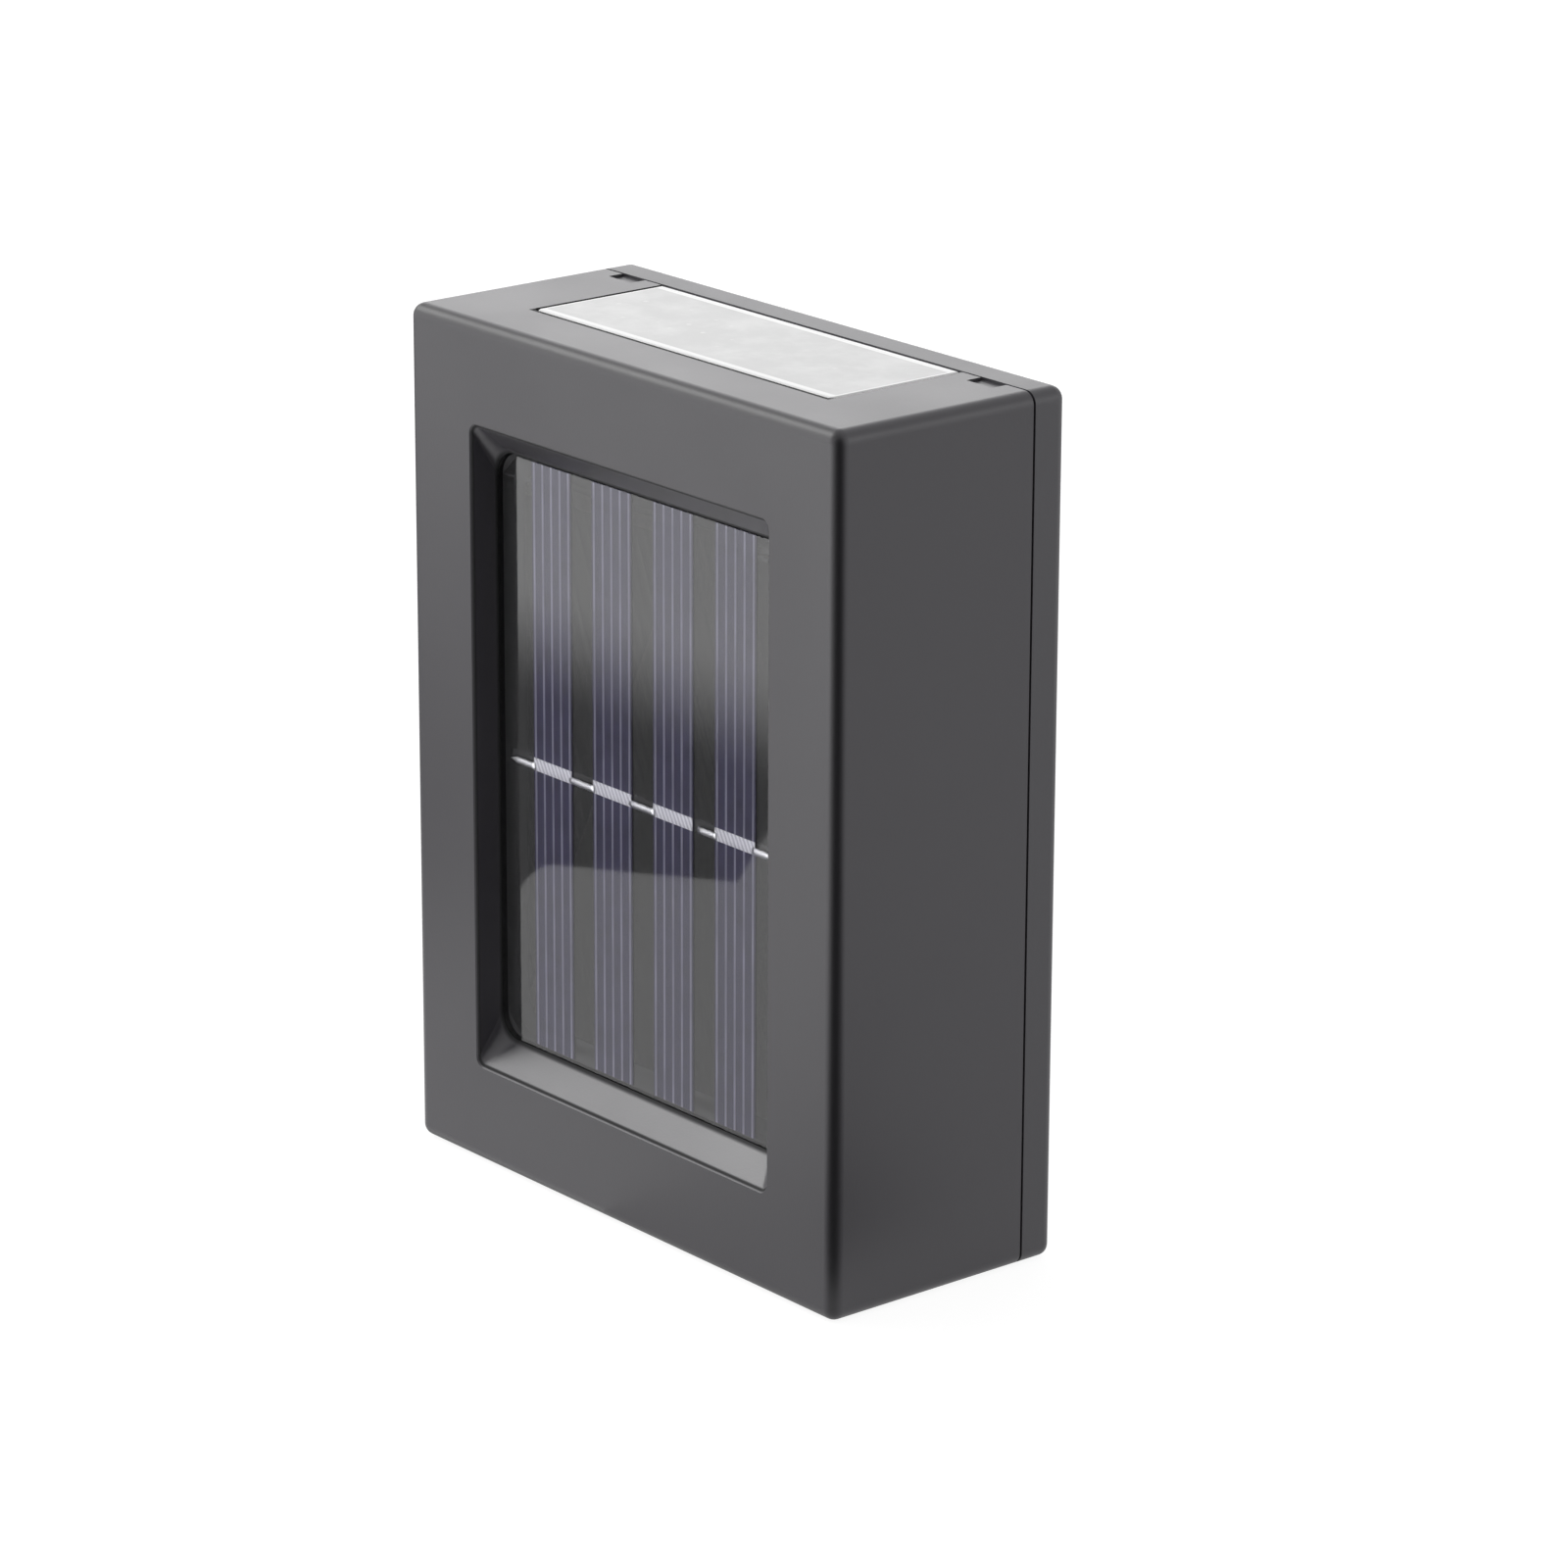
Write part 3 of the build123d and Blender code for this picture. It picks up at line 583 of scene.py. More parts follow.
def hatched(ink, where, look):
    """Screen-printed solder pad: slanting threads, with thin spots."""
    x, y, z = where.axes()
    slant = ((x + z * thread_slant) * thread_rate).sine() * 0.5 + 0.5
    thin = ink.node("ShaderNodeTexNoise", values={"Vector": where, "Scale": spot_scale, "Detail": 1.0})
    thread = slant * 0.65 + thin * 0.35
    look["height"] = thread
    return thread.ramp(0.15, 0.8).mix((0.66, 0.65, 0.70), (0.95, 0.95, 0.98))


dress("cell_pads", skin("solder_pad_skin", None, 0.5, depth=0.00002, metallic=0.7, pattern=hatched))


def bridge(shape, rings):
    """Faces between neighbouring rings of corners. A ring of one corner closes an end."""
    for first, second in zip(rings, rings[1:]):
        count = max(len(first), len(second))
        for number in range(count):
            after = (number + 1) % count
            corners = (first[number % len(first)], first[after % len(first)],
                       second[after % len(second)], second[number % len(second)])
            shape.faces.new(list(dict.fromkeys(corners)))


def closed_mesh(name, shape, material=None, smooth=False):
    """Plain mesh of a closed shape, with its faces turned outward."""
    bmesh.ops.recalc_face_normals(shape, faces=shape.faces)
    mesh = bpy.data.meshes.new(name)
    shape.to_mesh(mesh)
    for polygon in mesh.polygons:
        polygon.use_smooth = smooth
    if material:
        mesh.materials.append(material)
    return mesh


ribbon_low, ribbon_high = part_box("cell_ribbons")
ribbon_level = (ribbon_low.z + ribbon_high.z) / 2
ribbon_half = (ribbon_high.z - ribbon_low.z) / 2
ribbon_foot = ribbon_high.y
ribbon_rise = ribbon_low.y - ribbon_high.y
ribbon_steps = 8
ribbon_taper = 3.2
ribbon_wave = 0.07
ribbons = bmesh.new()


def ribbon(start, end, start_share, end_share):
    """Tinned ribbon with a crowned face, drawn thin where its end is cut to a point."""
    rings = []
    for number in range(ribbon_steps + 1):
        part = number / ribbon_steps
        grow = min(1.0, start_share + part * ribbon_taper) * min(1.0, end_share + (1 - part) * ribbon_taper)
        wave = 1 + ribbon_wave * math.sin(number * 2.3 + start * 900)
        half = ribbon_half * grow * wave
        crown = 0.55 + 0.45 * grow
        profile = ((0.0, -1.0), (0.35, -0.92), (crown, -0.4), (crown, 0.4), (0.35, 0.92), (0.0, 1.0))
        x = start + (end - start) * part
        rings.append([
            ribbons.verts.new((x, ribbon_foot + ribbon_rise * rise, ribbon_level + half * aside))
            for rise, aside in profile
        ])
    bridge(ribbons, rings)
    ribbons.faces.new(reversed(rings[0]))
    ribbons.faces.new(rings[-1])


# Each ribbon's two ends along X, and how full it is at each of them.
for start, end, start_share, end_share in (
    (-0.0239, -0.0193, 0.12, 1.0), (-0.0131, -0.0085, 0.55, 1.0), (-0.0023, 0.0023, 0.55, 1.0),
    (0.0099, 0.0131, 0.9, 0.9), (0.0193, 0.0228, 1.0, 0.08),
):
    ribbon(start, end, start_share, end_share)
ribbon_skin = skin("tab_ribbon_skin", (0.97, 0.97, 0.98), 0.4, grain=0.0005, metallic=1.0, blotch=0.1)
ribbon_mesh = closed_mesh("tab_ribbons", ribbons, ribbon_skin, smooth=True)
carried("tab_ribbons", ribbon_mesh, "light_body", "tab_ribbon", "cell_ribbons")


# ---- Clear resin. Poured over the cells and cured to a hard flat gloss, which holds the panel
# together and keeps rain off it. Only its front face mirrors the room.

resin_index = 1.5
resin_gloss = 0.03
resin_clear = (0.97, 0.97, 0.98)
wave_scale = 90.0
wave_strength = 0.4
wave_depth = 0.00001
face_depth = 0.00002
resin = bpy.data.materials.new("clear_resin_skin")
ink = blank_tree(resin)
where = ink.node("ShaderNodeTexCoord").at("Object")
waves = ink.node("ShaderNodeTexNoise", values={"Vector": where, "Scale": wave_scale, "Detail": 1.0})
bump = ink.node("ShaderNodeBump", values={
    "Height": waves, "Strength": wave_strength, "Distance": wave_depth,
})
gloss = ink.node("ShaderNodeBsdfGlossy", values={"Color": white, "Roughness": resin_gloss, "Normal": bump})
clear = ink.node("ShaderNodeBsdfTransparent", values={"Color": resin_clear})
x, y, z = where.axes()
mirrored = ink.node("ShaderNodeFresnel", values={"IOR": resin_index}) * (y < mirror_face + face_depth)
both = ink.node("ShaderNodeMixShader", values={0: mirrored, 1: clear, 2: gloss})
ink.node("ShaderNodeOutputMaterial", values={0: both})
dress("solar_resin", resin)


# ---- Lenses. Frosted polycarbonate windows let into the top and the bottom wall from inside, with a
# painted highlight: their bevelled rims are painted white.

lens_middle = (lens_front + lens_back) / 2
lens_half_depth = (lens_back - lens_front) / 2
rim_side = 0.0005
rim_end = 0.0010
rim_blur = 0.0001
cloud_scale = 210.0
fleck_scale = 330.0


def frosted(ink, where, look):
    """Frosted face: cloudy patches, a few pale specks, and a white rim that is a painted highlight."""
    x, y, z = where.axes()
    rim_x = x.size() - (lens_right - rim_side)
    rim_y = (y - lens_middle).size() - (lens_half_depth - rim_end)
    cloud = ink.node("ShaderNodeTexNoise", values={
        "Vector": where, "Scale": cloud_scale, "Detail": 4.0, "Roughness": 0.6,
    })
    flecks = ink.node("ShaderNodeTexVoronoi", values={"Vector": where, "Scale": fleck_scale})
    face = cloud.ramp(0.35, 0.7).mix((0.67, 0.67, 0.67), (0.74, 0.74, 0.74))
    face = (1 - flecks.at("Distance").ramp(0.05, 0.14)).mix(face, (0.78, 0.78, 0.78))
    # Painted highlight: the lens's rim is painted white.
    return rim_x.larger(rim_y).ramp(-rim_blur, rim_blur).mix(face, (0.92, 0.92, 0.92))


lens_skin = skin("lens_frost_skin", None, 0.6, grain=0.0003, blotch=0.04, specular=0.22, pattern=frosted)
dress("top_lens", lens_skin)
dress("bottom_lens", lens_skin)


# ---- Light boxes. White reflectors behind the lenses, moulded and clipped in, each with a white
# board and two warm LEDs soldered to it: a pale package with a yellow dome of phosphor in its middle.

white_skin = skin("reflector_skin", (0.8, 0.8, 0.8), 0.35, blotch=0.05)
dress("top_reflector", white_skin)
dress("bottom_reflector", white_skin)
led_low, led_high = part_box("top_leds")
led_half = 0.00175
led_x = led_high.x - led_half
led_y = (led_low.y + led_high.y) / 2
land_reach = 0.0026
land_half = 0.0012
land_blur = 0.0001
phosphor_edge = (0.0010, 0.0012)


def led_print(ink, where, look):
    """White solder mask with tinned lands beside the packages."""
    x, y, z = where.axes()
    beyond = ((x.size() - led_x).size() - land_reach).larger((y - led_y).size() - land_half)
    return (1 - beyond.ramp(-land_blur, land_blur)).mix((0.74, 0.75, 0.73), (0.52, 0.52, 0.50))


led_board_skin = skin("led_board_skin", None, 0.4, blotch=0.05, pattern=led_print)
dress("top_led_board", led_board_skin)
dress("bottom_led_board", led_board_skin)


def phosphor(ink, where, look):
    """Round yellow window in a pale package."""
    x, y, z = where.axes()
    side = x.size() - led_x
    ahead = y - led_y
    reach = (side * side + ahead * ahead).root()
    return reach.ramp(*phosphor_edge).mix((0.85, 0.62, 0.07), (0.78, 0.77, 0.70))


led_skin = skin("led_phosphor_skin", None, 0.3, grain=0.0003, pattern=phosphor)
dress("top_leds", led_skin)
dress("bottom_leds", led_skin)


# ---- Rear cover, gasket and button. The cover is a second charcoal moulding, a shade paler, held by
# four screws; a black rubber strip in its rim seals it, and a soft black cap is pushed over the
# switch's plunger.

cover_skin = skin("cover_plastic_skin", (0.052, 0.050, 0.057), 0.45, grain=0.00022, depth=0.000014)
dress("rear_cover", cover_skin)
dress("cover_gasket", skin("gasket_rubber_skin", (0.012, 0.012, 0.012), 0.75, grain=0.0004, depth=0.00003))

button_z = 0.016
ring_rate = 9000.0


def moulded_rings(ink, where, look):
    """Rubber cap: shallow rings on its face for grip."""
    x, y, z = where.axes()
    level = z - button_z
    rings = ((x * x + level * level).root() * ring_rate).sine() * 0.5 + 0.5
    look["height"] = rings * 0.8 + look["height"] * 0.2
    return (0.022, 0.022, 0.023)


dress("button_cap", skin("button_rubber_skin", None, 0.68, depth=0.00006, pattern=moulded_rings))


# ---- Screws. Cross-recessed pan heads with a helical thread, in zinc-plated steel: four hold the
# cover on the housing's bosses, and two hold the control board on its posts.

steel = skin("screw_steel_skin", (0.60, 0.60, 0.62), 0.30, grain=0.0005, metallic=1.0, blotch=0.2)


def screw_mesh(head_radius, head_height, crest, root, length, pitch, drive_half, drive_slot):
    """Screw along +Y with its head's face at 0, and its drive cut into the head."""
    steps = 24
    rows_a_turn = 6
    flank = 3.2
    tip_share = 0.25
    head = ((0.6, 0.02), (0.88, 0.16), (1.0, 0.45), (1.0, 0.9), (0.94, 1.0))
    rings = [[(head_radius * reach, head_height * down)] * steps for reach, down in head]
    rings.append([(crest, head_height)] * steps)
    thread_length = length - head_height
    thread_rows = int(thread_length / pitch * rows_a_turn)
    for row_number in range(thread_rows + 1):
        along = thread_length * row_number / thread_rows
        taper = min(1.0, (thread_length - along) / (2 * crest) + tip_share)
        ring = []
        for number in range(steps):
            phase = (along / pitch - number / steps) % 1.0
            ridge = max(0.0, 1 - abs(phase - 0.5) * flank)
            ring.append(((root + (crest - root) * ridge) * taper, head_height + along))
        rings.append(ring)
    shape = bmesh.new()
    loops = [[shape.verts.new((0, 0, 0))]]
    for ring in rings:
        loop = []
        for number, (reach, down) in enumerate(ring):
            angle = 2 * math.pi * number / steps
            loop.append(shape.verts.new((reach * math.cos(angle), down, reach * math.sin(angle))))
        loops.append(loop)
    bridge(shape, loops + [[shape.verts.new((0, length, 0))]])
    screw = new_object("screw_blank", closed_mesh("screw", shape))
    cutter = bmesh.new()
    drive_above = -0.0005
    drive_depth = drive_half * 0.88
    long_taper = 0.45
    slot_taper = 0.8
    for long_x in (True, False):
        half_x, half_z = (drive_half, drive_slot) if long_x else (drive_slot, drive_half)
        foot_x = half_x * (long_taper if long_x else slot_taper)
        foot_z = half_z * (slot_taper if long_x else long_taper)
        mouth = [cutter.verts.new((x * half_x, drive_above, z * half_z)) for x, z in square]
        foot = [cutter.verts.new((x * foot_x, drive_depth, z * foot_z)) for x, z in square]
        bridge(cutter, [mouth, foot])
        cutter.faces.new(mouth)
        cutter.faces.new(reversed(foot))
    drive = new_object("drive_cutter", closed_mesh("drive", cutter))
    cut = screw.modifiers.new("drive", "BOOLEAN")
    cut.object = drive
    cut.operation = "DIFFERENCE"
    cut.use_self = True
    ready = screw.evaluated_get(bpy.context.evaluated_depsgraph_get())
    finished = bpy.data.meshes.new_from_object(ready)
    bpy.data.objects.remove(screw)
    bpy.data.objects.remove(drive)
    return new_object("screw_master", finished)


def screws(name, node_name, body, master, head_radius, rows):
    """Copies of one screw at the corners of a grid, with their heads to the rear."""
    least_spread = 0.0001
    low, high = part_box(node_name)
    sizes = {
        "Screw": master,
        "Columns": 2,
        "Rows": rows,
        "Spread X": high.x - low.x - 2 * head_radius,
        "Spread Z": max(high.z - low.z - 2 * head_radius, least_spread),
        "Head face": high.y,
        "Middle Z": (low.z + high.z) / 2,
        "Turn": math.pi,
    }
    size = geometry_tree(name, sizes)
    grid = size.node("GeometryNodeMeshGrid", values={
        "Size X": size.at("Spread X"), "Size Y": size.at("Spread Z"),
        "Vertices X": size.at("Columns"), "Vertices Y": size.at("Rows"),
    })
    held = size.node("GeometryNodeObjectInfo", values={0: size.at("Screw")})
    copies = size.node("GeometryNodeInstanceOnPoints", values={
        "Points": moved(grid, turn=(quarter_turn, 0, 0)), "Instance": held.at("Geometry"),
        "Rotation": size.vector(z=size.at("Turn")),
    })
    copies = moved(copies, size.vector(y=size.at("Head face"), z=size.at("Middle Z")))
    carried(name, grown_mesh(copies, sizes, steel), body, "screw_steel", node_name)


cover_head = 0.0023
cover_screw = screw_mesh(
    head_radius=cover_head, head_height=0.0017, crest=0.0013, root=0.00092, length=0.0116,
    pitch=0.0010, drive_half=0.0013, drive_slot=0.00030,
)
screws("cover_screws_threaded", "cover_screws", "cover_body", cover_screw, cover_head, rows=2)
bpy.data.objects.remove(cover_screw)
board_head = 0.0019
board_screw = screw_mesh(
    head_radius=board_head, head_height=0.0012, crest=0.0009, root=0.00062, length=0.0072,
    pitch=0.0008, drive_half=0.0010, drive_slot=0.00025,
)
screws("board_screws_threaded", "board_screws", "light_body", board_screw, board_head, rows=1)
bpy.data.objects.remove(board_screw)


# ---- Control board and its parts. A glass-fibre board with green solder mask over copper tracks,
# screwed to its posts; a black chip with tinned legs, a coil of copper wire on ferrite, a small can
# capacitor in a shrunk sleeve and the push switch are soldered to it.

track_scale = 260.0
track_rate = 44.0
hole_scale = 340.0


def tracks(ink, where, look):
    """Tracks under the mask, and tinned pads in rows."""
    cells = ink.node("ShaderNodeTexVoronoi", {"distance": "CHEBYCHEV", "feature": "F1"},
                     {"Vector": where, "Scale": track_scale, "Randomness": 0.7})
    run = (cells.at("Distance") * track_rate).sine().ramp(0.1, 0.35)
    pads = ink.node("ShaderNodeTexVoronoi", values={
        "Vector": where, "Scale": hole_scale, "Randomness": 0.25,
    })
    pad = 1 - pads.at("Distance").ramp(0.14, 0.19)
    look["height"] = run
    return pad.mix(run.mix((0.012, 0.085, 0.036), (0.020, 0.145, 0.055)), (0.58, 0.57, 0.52))


dress("control_board", skin("control_board_skin", None, 0.35, depth=0.00003, pattern=tracks, blotch=0.1))
dress("driver_chip", skin("chip_skin", (0.018, 0.018, 0.019), 0.5, grain=0.0002))
chip_low, chip_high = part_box("driver_chip")
leg_width = 0.0004
leg_reach = 0.0011
leg_foot = 0.0005
leg_gauge = 0.00016
leg_rise = 0.0007
leg_knee = leg_reach - leg_foot
leg_line = [
    (0.0, leg_rise), (leg_knee, leg_rise), (leg_knee, leg_gauge), (leg_reach, leg_gauge), (leg_reach, 0.0),
    (leg_knee - leg_gauge, 0.0), (leg_knee - leg_gauge, leg_rise - leg_gauge), (0.0, leg_rise - leg_gauge),
]
leg = bmesh.new()
sides = [
    [leg.verts.new((x, -rise, out)) for out, rise in leg_line]
    for x in (-leg_width / 2, leg_width / 2)
]
bridge(leg, sides)
leg.faces.new(reversed(sides[0]))
leg.faces.new(sides[1])
leg_master = new_object("chip_leg", closed_mesh("chip_leg", leg))
leg_sizes = {
    "Leg": leg_master,
    "Legs": 4,
    "Leg pitch": 0.00115,
    "Half span": (chip_high.z - chip_low.z) / 2,
    "Middle X": (chip_low.x + chip_high.x) / 2,
    "Board": chip_low.y,
    "Middle Z": (chip_low.z + chip_high.z) / 2,
}
size = geometry_tree("chip_legs", leg_sizes)
held = size.node("GeometryNodeObjectInfo", values={0: size.at("Leg")})
legs = row(size, held.at("Geometry"), size.at("Legs"), size.at("Leg pitch"))
upper = moved(moved(legs, turn=(0, 0, math.pi)), size.vector(z=size.at("Half span")))
lower = moved(upper, turn=(0, math.pi, 0))
both = size.node("GeometryNodeJoinGeometry")
for legs in (upper, lower):
    size.tree.links.new(legs.socket, both.socket.node.inputs[0])
legs = moved(both, size.vector(size.at("Middle X"), size.at("Board"), size.at("Middle Z")))
tinned = skin("tinned_copper_skin", (0.66, 0.65, 0.62), 0.32, grain=0.0004, metallic=1.0, blotch=0.2)
carried("chip_legs", grown_mesh(legs, leg_sizes, tinned), "light_body", "contact_nickel")
bpy.data.objects.remove(leg_master)


def turned(name, profile, centre, along_x, material, steps=48):
    """Round part: a profile of reach along its axis and radius, turned about the axis."""
    shape = bmesh.new()
    rings = []
    for reach, radius in profile:
        ring = []
        for number in range(steps if radius else 1):
            angle = 2 * math.pi * number / steps
            first, second = centre[0] + radius * math.cos(angle), centre[1] + radius * math.sin(angle)
            ring.append(shape.verts.new((reach, first, second) if along_x else (first, reach, second)))
        rings.append(ring)
    bridge(shape, rings)
    mesh = closed_mesh(name, shape, material, smooth=True)
    mesh.set_sharp_from_angle(angle=math.radians(35))
    return mesh


coil_low, coil_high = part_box("inductor")
coil_radius = 0.0033
coil_chamfer = 0.0002
flange_chamfer = 0.0001
turn_steps = 8
turn_count = 7
turn_bulge = 0.00021
waist_radius = coil_radius - 0.0006
waist_low = coil_low.y + 0.0008
waist_high = coil_high.y - 0.0008
waist_blur = 0.00002


def wound(ink, where, look):
    """Copper turns round the coil's waist, dark ferrite at its ends."""
    x, y, z = where.axes()
    from_waist = (y - (waist_low + waist_high) / 2).size() - ((waist_high - waist_low) / 2 - waist_blur)
    return from_waist.ramp(-waist_blur, waist_blur).mix((0.60, 0.25, 0.10), (0.055, 0.052, 0.050))


coil_profile = [
    (coil_low.y, 0.0), (coil_low.y, coil_radius - coil_chamfer), (coil_low.y + coil_chamfer, coil_radius),
    (waist_low - flange_chamfer, coil_radius), (waist_low, coil_radius - flange_chamfer),
]
for number in range(turn_steps * turn_count + 1):
    bulge = turn_bulge * math.sin(math.pi * (number % turn_steps) / turn_steps)
    reach = waist_low + (waist_high - waist_low) * number / (turn_steps * turn_count)
    coil_profile.append((reach, waist_radius + bulge))
coil_profile += [
    (waist_high, coil_radius - flange_chamfer), (waist_high + flange_chamfer, coil_radius),
    (coil_high.y - coil_chamfer, coil_radius), (coil_high.y, coil_radius - coil_chamfer),
    (coil_high.y, 0.0),
]
coil_centre = ((coil_low.x + coil_high.x) / 2, (coil_low.z + coil_high.z) / 2)
coil_skin = skin("coil_skin", None, 0.4, pattern=wound)
coil_mesh = turned("wound_coil", coil_profile, coil_centre, False, coil_skin)
carried("wound_coil", coil_mesh, "light_body", "ferrite", "inductor")

can_low, can_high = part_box("capacitor")
can_radius = (can_high.x - can_low.x) / 2
can_middle = (-0.012, 0.018)
stripe_x = -0.0133
stripe_blur = 0.0001
sleeve_top = -0.0108
sleeve_blur = 0.00002
lid_square = (0.0000026, 0.0000029)


def sleeved(ink, where, look):
    """Dark blue sleeve with a pale stripe down the minus side, bare can on top."""
    x, y, z = where.axes()
    stripe = (x - stripe_x).ramp(-stripe_blur, stripe_blur)
    aside, above = x - can_middle[0], z - can_middle[1]
    lid = 1 - (aside * aside + above * above).ramp(*lid_square)
    top = (y - sleeve_top).ramp(-sleeve_blur, sleeve_blur) * lid
    return top.mix(stripe.mix((0.62, 0.63, 0.66), (0.020, 0.030, 0.100)), (0.60, 0.60, 0.61))


can_profile = [(can_low.y + rise, can_radius * share) for rise, share in (
    (0.0, 0.0), (0.0, 0.84), (0.0002, 0.96), (0.0004, 1.0), (0.0007, 0.99), (0.0009, 0.92),
    (0.0011, 0.92), (0.0013, 0.99), (0.0016, 1.0),
)]
can_profile += [(can_high.y - drop, can_radius * share) for drop, share in (
    (0.0004, 1.0), (0.0001, 0.96), (0.0, 0.86), (0.0001, 0.80), (0.0001, 0.0),
)]
can_centre = ((can_low.x + can_high.x) / 2, (can_low.z + can_high.z) / 2)
can_skin = skin("capacitor_sleeve_skin", None, 0.3, pattern=sleeved)
can_mesh = turned("can_capacitor", can_profile, can_centre, False, can_skin)
carried("can_capacitor", can_mesh, "light_body", "capacitor_sleeve", "capacitor")
dress("switch_body", skin("switch_skin", (0.016, 0.016, 0.016), 0.42))
dress("switch_plunger", skin("plunger_skin", (0.75, 0.75, 0.72), 0.4))


# ---- Battery. One rechargeable cell in a shrunk sleeve, in an open black holder with a coil spring
# at its minus end and a sprung plate at its plus end, both nickel-plated.

band_x = 0.0205
band_half = 0.0016
sleeve_plus = 0.0257
sleeve_minus = -0.0232
sleeve_edge = 0.0001


def banded(ink, where, look):
    """Sleeve: green body, a white ring by the plus end, bare metal on the ends."""
    x, y, z = where.axes()
    ring = 1 - ((x - band_x).size() - band_half).ramp(-sleeve_edge, sleeve_edge)
    bare = (x - sleeve_plus).larger(sleeve_minus - x).ramp(-sleeve_edge, sleeve_edge)
    return bare.mix(ring.mix((0.022, 0.150, 0.085), (0.70, 0.71, 0.68)), (0.62, 0.61, 0.59))


dress("battery_holder", skin("holder_skin", (0.020, 0.020, 0.021), 0.5))
cell_low, cell_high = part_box("battery_cell")
cell_radius = (cell_high.y - cell_low.y) / 2
nub_length = 0.0015
shoulder = cell_high.x - nub_length
cell_profile = [(cell_low.x + along, cell_radius * share) for along, share in (
    (0.0, 0.0), (0.0, 0.80), (0.0001, 0.84), (0.0001, 0.86), (0.0, 0.88), (0.0002, 0.94),
    (0.0006, 0.985), (0.0012, 1.0),
)]
cell_profile += [(shoulder + along, cell_radius * share) for along, share in (
    (-0.0032, 1.0), (-0.0028, 0.975), (-0.0024, 0.97), (-0.0020, 0.99), (-0.0010, 0.985),
    (-0.0004, 0.94), (0.0, 0.85), (0.0, 0.80), (-0.0002, 0.78), (-0.0002, 0.42), (0.0002, 0.39),
)]
cell_profile += [(cell_high.x + along, cell_radius * share) for along, share in (
    (-0.0003, 0.375), (0.0, 0.33), (0.0, 0.0),
)]
cell_centre = ((cell_low.y + cell_high.y) / 2, (cell_low.z + cell_high.z) / 2)
sleeve_skin = skin("battery_sleeve_skin", None, 0.28, grain=0.0012, depth=0.00002, pattern=banded)
cell_mesh = turned("sleeved_battery", cell_profile, cell_centre, True, sleeve_skin, steps=64)
carried("sleeved_battery", cell_mesh, "light_body", "battery_sleeve", "battery_cell")


roll_along = 300.0
roll_across = 6000.0


def brushed(ink, where, look):
    """Rolled strip: fine lines along the sheet."""
    x, y, z = where.axes()
    stretch = ink.vector(x * roll_along, y * roll_across, z * roll_across)
    look["height"] = ink.node("ShaderNodeTexNoise", values={"Vector": stretch, "Scale": 1.0, "Detail": 2.0})
    return (0.62, 0.60, 0.56)


def round_wire(size, path, steps):
    """Smooth round wire along a path, with closed ends. The tree has its radius."""
    section = size.node("GeometryNodeCurvePrimitiveCircle", values={
        "Resolution": steps, "Radius": size.at("Wire radius"),
    })
    wire = size.node("GeometryNodeCurveToMesh", values={
        "Curve": path, "Profile Curve": section, "Fill Caps": True,
    })
    return size.node("GeometryNodeSetShadeSmooth", values={"Geometry": wire})


nickel = skin("contact_nickel_skin", None, 0.28, metallic=1.0, pattern=brushed)
dress("battery_plate", nickel)
spring_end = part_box("battery_spring")[1].x
spring_wire = 0.00035
spring_length = 0.0036
spring_root = spring_end - spring_length
spring_sizes = {
    "Turns": 3.0,
    "Coil radius": 0.0034,
    "Wire radius": spring_wire,
    "Height": spring_length - 2 * spring_wire,
    "Start": spring_root + spring_wire,
    "Middle Y": cell_centre[0],
    "Middle Z": cell_centre[1],
}
size = geometry_tree("contact_coil", spring_sizes)
spiral = size.node("GeometryNodeCurveSpiral", values={
    "Resolution": 40, "Rotations": size.at("Turns"), "Start Radius": size.at("Coil radius"),
    "End Radius": size.at("Coil radius"), "Height": size.at("Height"),
})
spring_place = size.vector(size.at("Start"), size.at("Middle Y"), size.at("Middle Z"))
spiral = moved(moved(spiral, turn=(0, quarter_turn, 0)), spring_place)
spring_coil = grown_mesh(round_wire(size, spiral, 12), spring_sizes, nickel)

# The coil takes the place of the CAD spring's coarse one, and the spring's plate stays.
weld_distance = 1e-7
cut_slack = 0.00001
plate = bmesh.new()
plate.from_mesh(node["battery_spring"].data)
bmesh.ops.remove_doubles(plate, verts=plate.verts, dist=weld_distance)
coarse = [corner for corner in plate.verts if corner.co.x > spring_root + cut_slack]
bmesh.ops.delete(plate, geom=coarse, context="VERTS")
plate.from_mesh(spring_coil)
spring_mesh = bpy.data.meshes.new("spring_contact")
plate.to_mesh(spring_mesh)
spring_mesh.materials.append(nickel)
carried("spring_contact", spring_mesh, "light_body", "contact_nickel", "battery_spring")


# ---- Hook-up wire. Stranded copper in coloured plastic: red and black leads from the battery and
# from the panel, and a white pair from each lamp board, bent by hand round the battery holder and
# soldered to the control board.

red_skin = skin("wire_red_skin", (0.45, 0.015, 0.012), 0.38, grain=0.0005)
black_skin = skin("wire_black_skin", (0.014, 0.014, 0.015), 0.38, grain=0.0005)
white_wire_skin = skin("wire_white_skin", (0.72, 0.72, 0.70), 0.38, grain=0.0005)
wire_radius = 0.00055
wire_bend = 0.0021
board_back = -0.0154
board_middle = -0.0160
strap_x = 0.0303
strap_y = -0.0107
strap_z = -0.0185
battery_x = 0.0170
battery_z = 0.0048
panel_y = -0.0265
panel_z = 0.0326
panel_end_z = 0.0262
panel_leads = (0.0035, 0.0057)
loop_y = -0.0110
lamp_y = -0.014525
lamp_z = 0.0394
lamp_drop_z = 0.0359
lamp_turn_z = 0.0325
lamp_end_z = 0.0290
lamp_aside = 0.005
low_x = 0.0189
low_z = -0.0326
wall_x = 0.0344
low_level_z = 0.0004
low_end_z = 0.0030


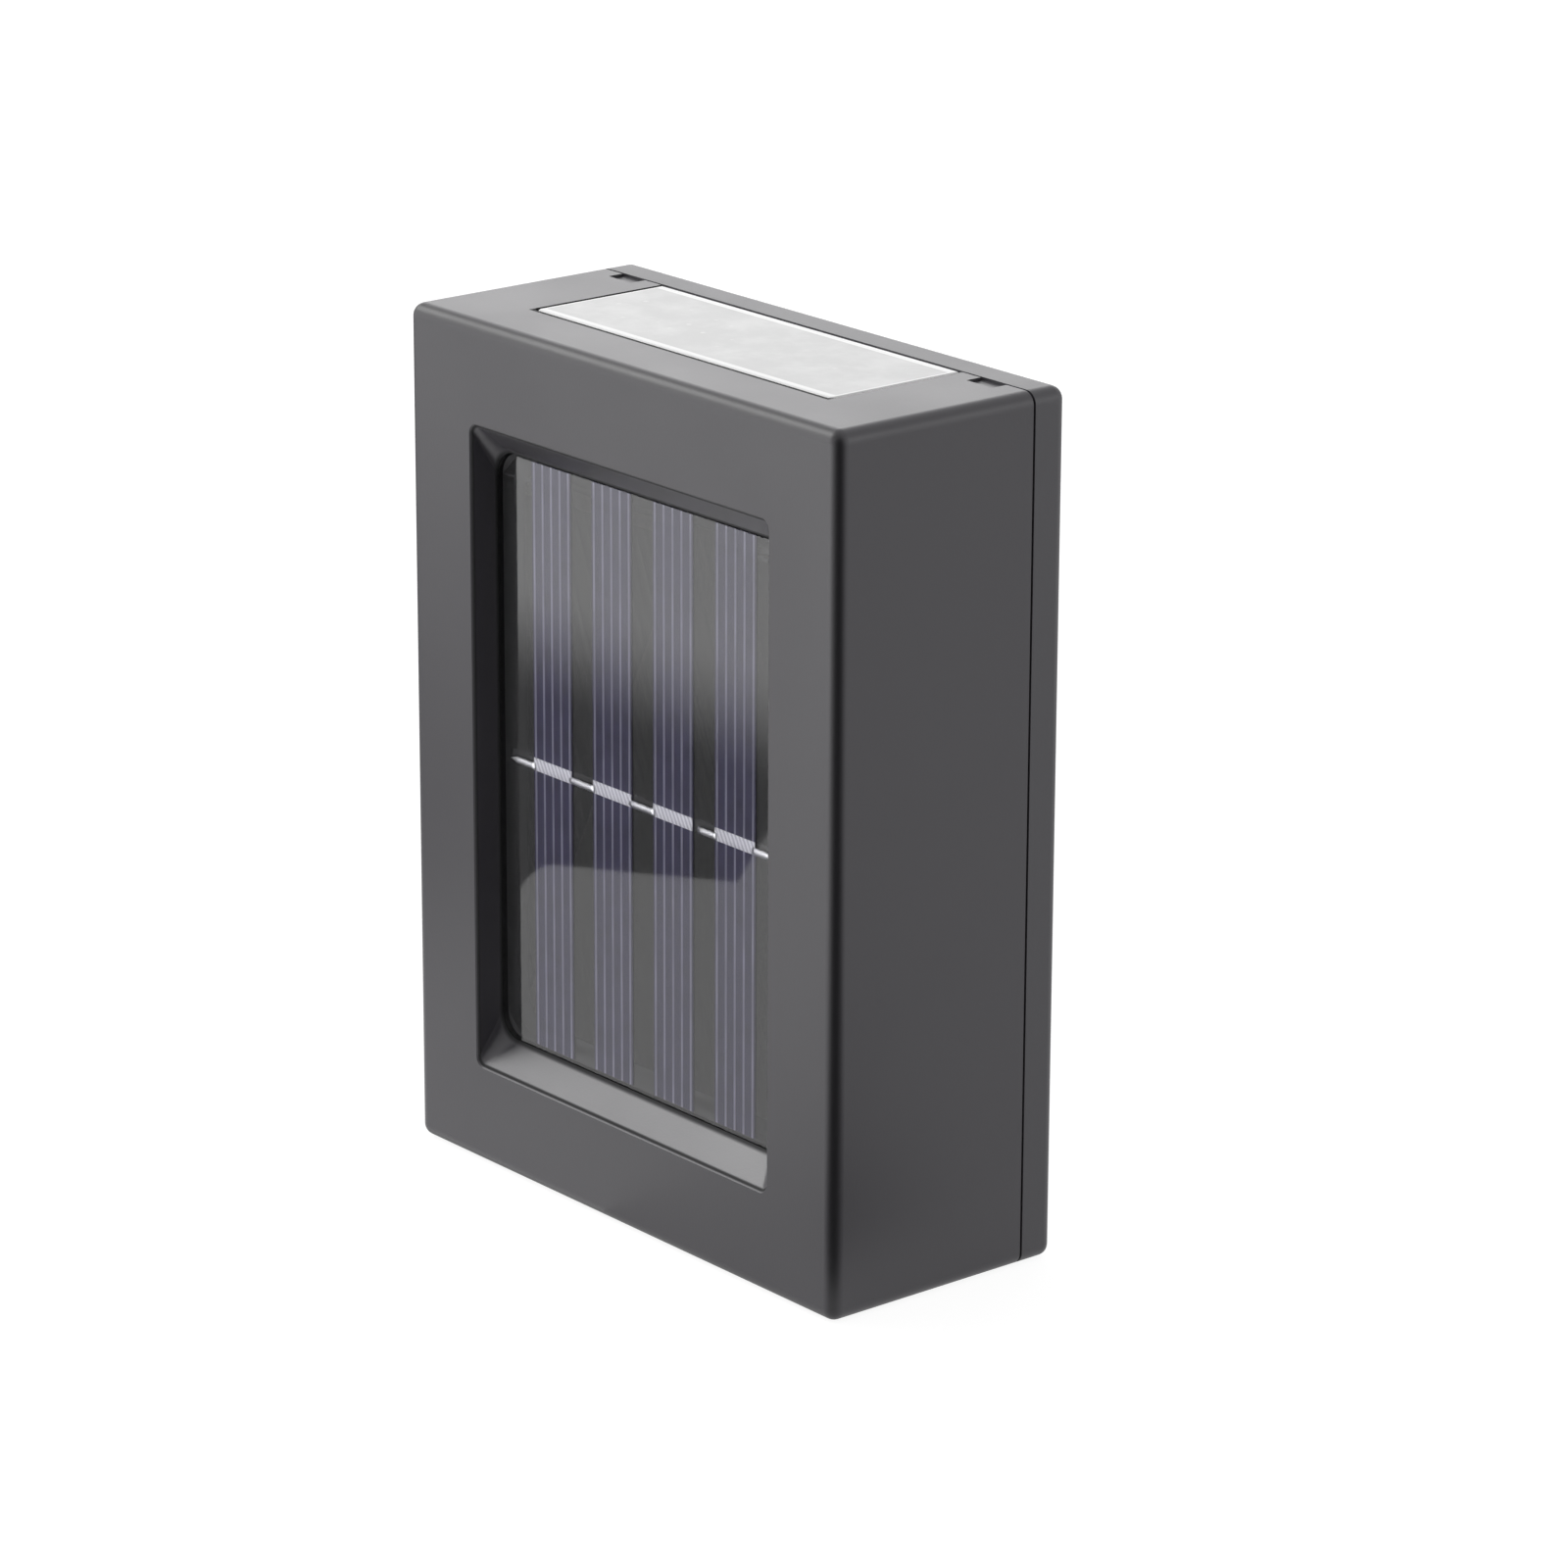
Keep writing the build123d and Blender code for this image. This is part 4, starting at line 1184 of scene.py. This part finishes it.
def battery_route(side):
    return [
        (side * strap_x, strap_y, strap_z), (side * strap_x, strap_y, battery_z),
        (side * battery_x, strap_y, battery_z), (side * battery_x, board_back, battery_z),
    ]


def panel_route(x):
    return [
        (x, panel_y, panel_z), (x, loop_y, panel_z),
        (x, loop_y, panel_end_z), (x, board_back, panel_end_z),
    ]


def top_route(x):
    end = x + lamp_aside
    return [
        (x, lamp_y, lamp_z), (x, lamp_y, lamp_drop_z),
        (end, board_middle, lamp_turn_z), (end, board_middle, lamp_end_z),
    ]


def low_route(y, end):
    return [
        (low_x, y, -lamp_z), (low_x, y, low_z), (wall_x, y, low_z), (wall_x, y, low_level_z),
        (end, y, low_level_z), (end, board_middle, low_end_z - wire_radius),
    ]


def hook_up(name, node_name, routes, slot, material):
    """Round wires along their routes, with an easy bend at each corner."""
    points = []
    edges = []
    for route in routes:
        edges += [(len(points) + number, len(points) + number + 1) for number in range(len(route) - 1)]
        points += route
    run = bpy.data.meshes.new(name + "_run")
    run.from_pydata(points, edges, [])
    route_object = new_object(name + "_run", run)
    sizes = {"Route": route_object, "Wire radius": wire_radius, "Bend": wire_bend, "Bend steps": 7}
    size = geometry_tree(name, sizes)
    held = size.node("GeometryNodeObjectInfo", values={0: size.at("Route")})
    line = size.node("GeometryNodeMeshToCurve", values={0: held.at("Geometry")})
    eased = size.node("GeometryNodeFilletCurve", {"mode": "POLY"}, {
        "Curve": line, "Count": size.at("Bend steps"), "Radius": size.at("Bend"), "Limit Radius": True,
    })
    carried(name, grown_mesh(round_wire(size, eased, 14), sizes, material), "light_body", slot, node_name)
    bpy.data.objects.remove(route_object)


top_routes = [top_route(-0.0131), top_route(-0.0109)]
low_routes = [low_route(-0.01255, 0.0099), low_route(-0.01475, 0.0121)]
hook_up("red_battery_lead", "battery_wire_red", [battery_route(1)], "wire_red", red_skin)
hook_up("black_battery_lead", "battery_wire_black", [battery_route(-1)], "wire_black", black_skin)
hook_up("red_panel_lead", "panel_wire_red", [panel_route(panel_leads[1])], "wire_red", red_skin)
hook_up("black_panel_lead", "panel_wire_black", [panel_route(panel_leads[0])], "wire_black", black_skin)
hook_up("top_lamp_leads", "top_led_wires", top_routes, "wire_white", white_wire_skin)
hook_up("bottom_lamp_leads", "bottom_led_wires", low_routes, "wire_white", white_wire_skin)


# ---- Solder joints. Each wire ends in a bright low dome of solder on the back of the control board,
# where its bared end goes through a tinned hole.

top_joint_z = 0.0284
low_joint_z = 0.0036
joints = [(-battery_x, battery_z), (battery_x, battery_z)]
joints += [(x, panel_end_z) for x in panel_leads]
joints += [(route[-1][0], top_joint_z) for route in top_routes]
joints += [(route[-1][0], low_joint_z) for route in low_routes]
joint_mesh = bpy.data.meshes.new("joints")
joint_mesh.from_pydata([(x, board_back, z) for x, z in joints], [], [])
joint_object = new_object("joints", joint_mesh)
joint_sizes = {"Joints": joint_object, "Dome radius": 0.00092, "Dome height": 0.00055}
size = geometry_tree("solder_joints", joint_sizes)
held = size.node("GeometryNodeObjectInfo", values={0: size.at("Joints")})
ball = size.node("GeometryNodeMeshUVSphere", values={
    "Segments": 16, "Rings": 10, "Radius": size.at("Dome radius"),
})
dome = moved(ball, stretch=size.vector(1.0, size.at("Dome height") / size.at("Dome radius"), 1.0))
domes = size.node("GeometryNodeInstanceOnPoints", values={"Points": held.at("Geometry"), "Instance": dome})
smooth = size.node("GeometryNodeSetShadeSmooth", values={"Geometry": domes})
solder = skin("solder_skin", (0.68, 0.68, 0.67), 0.22, grain=0.0006, metallic=1.0, blotch=0.15)
carried("solder_joints", grown_mesh(smooth, joint_sizes, solder), "light_body", "contact_nickel")
bpy.data.objects.remove(joint_object)
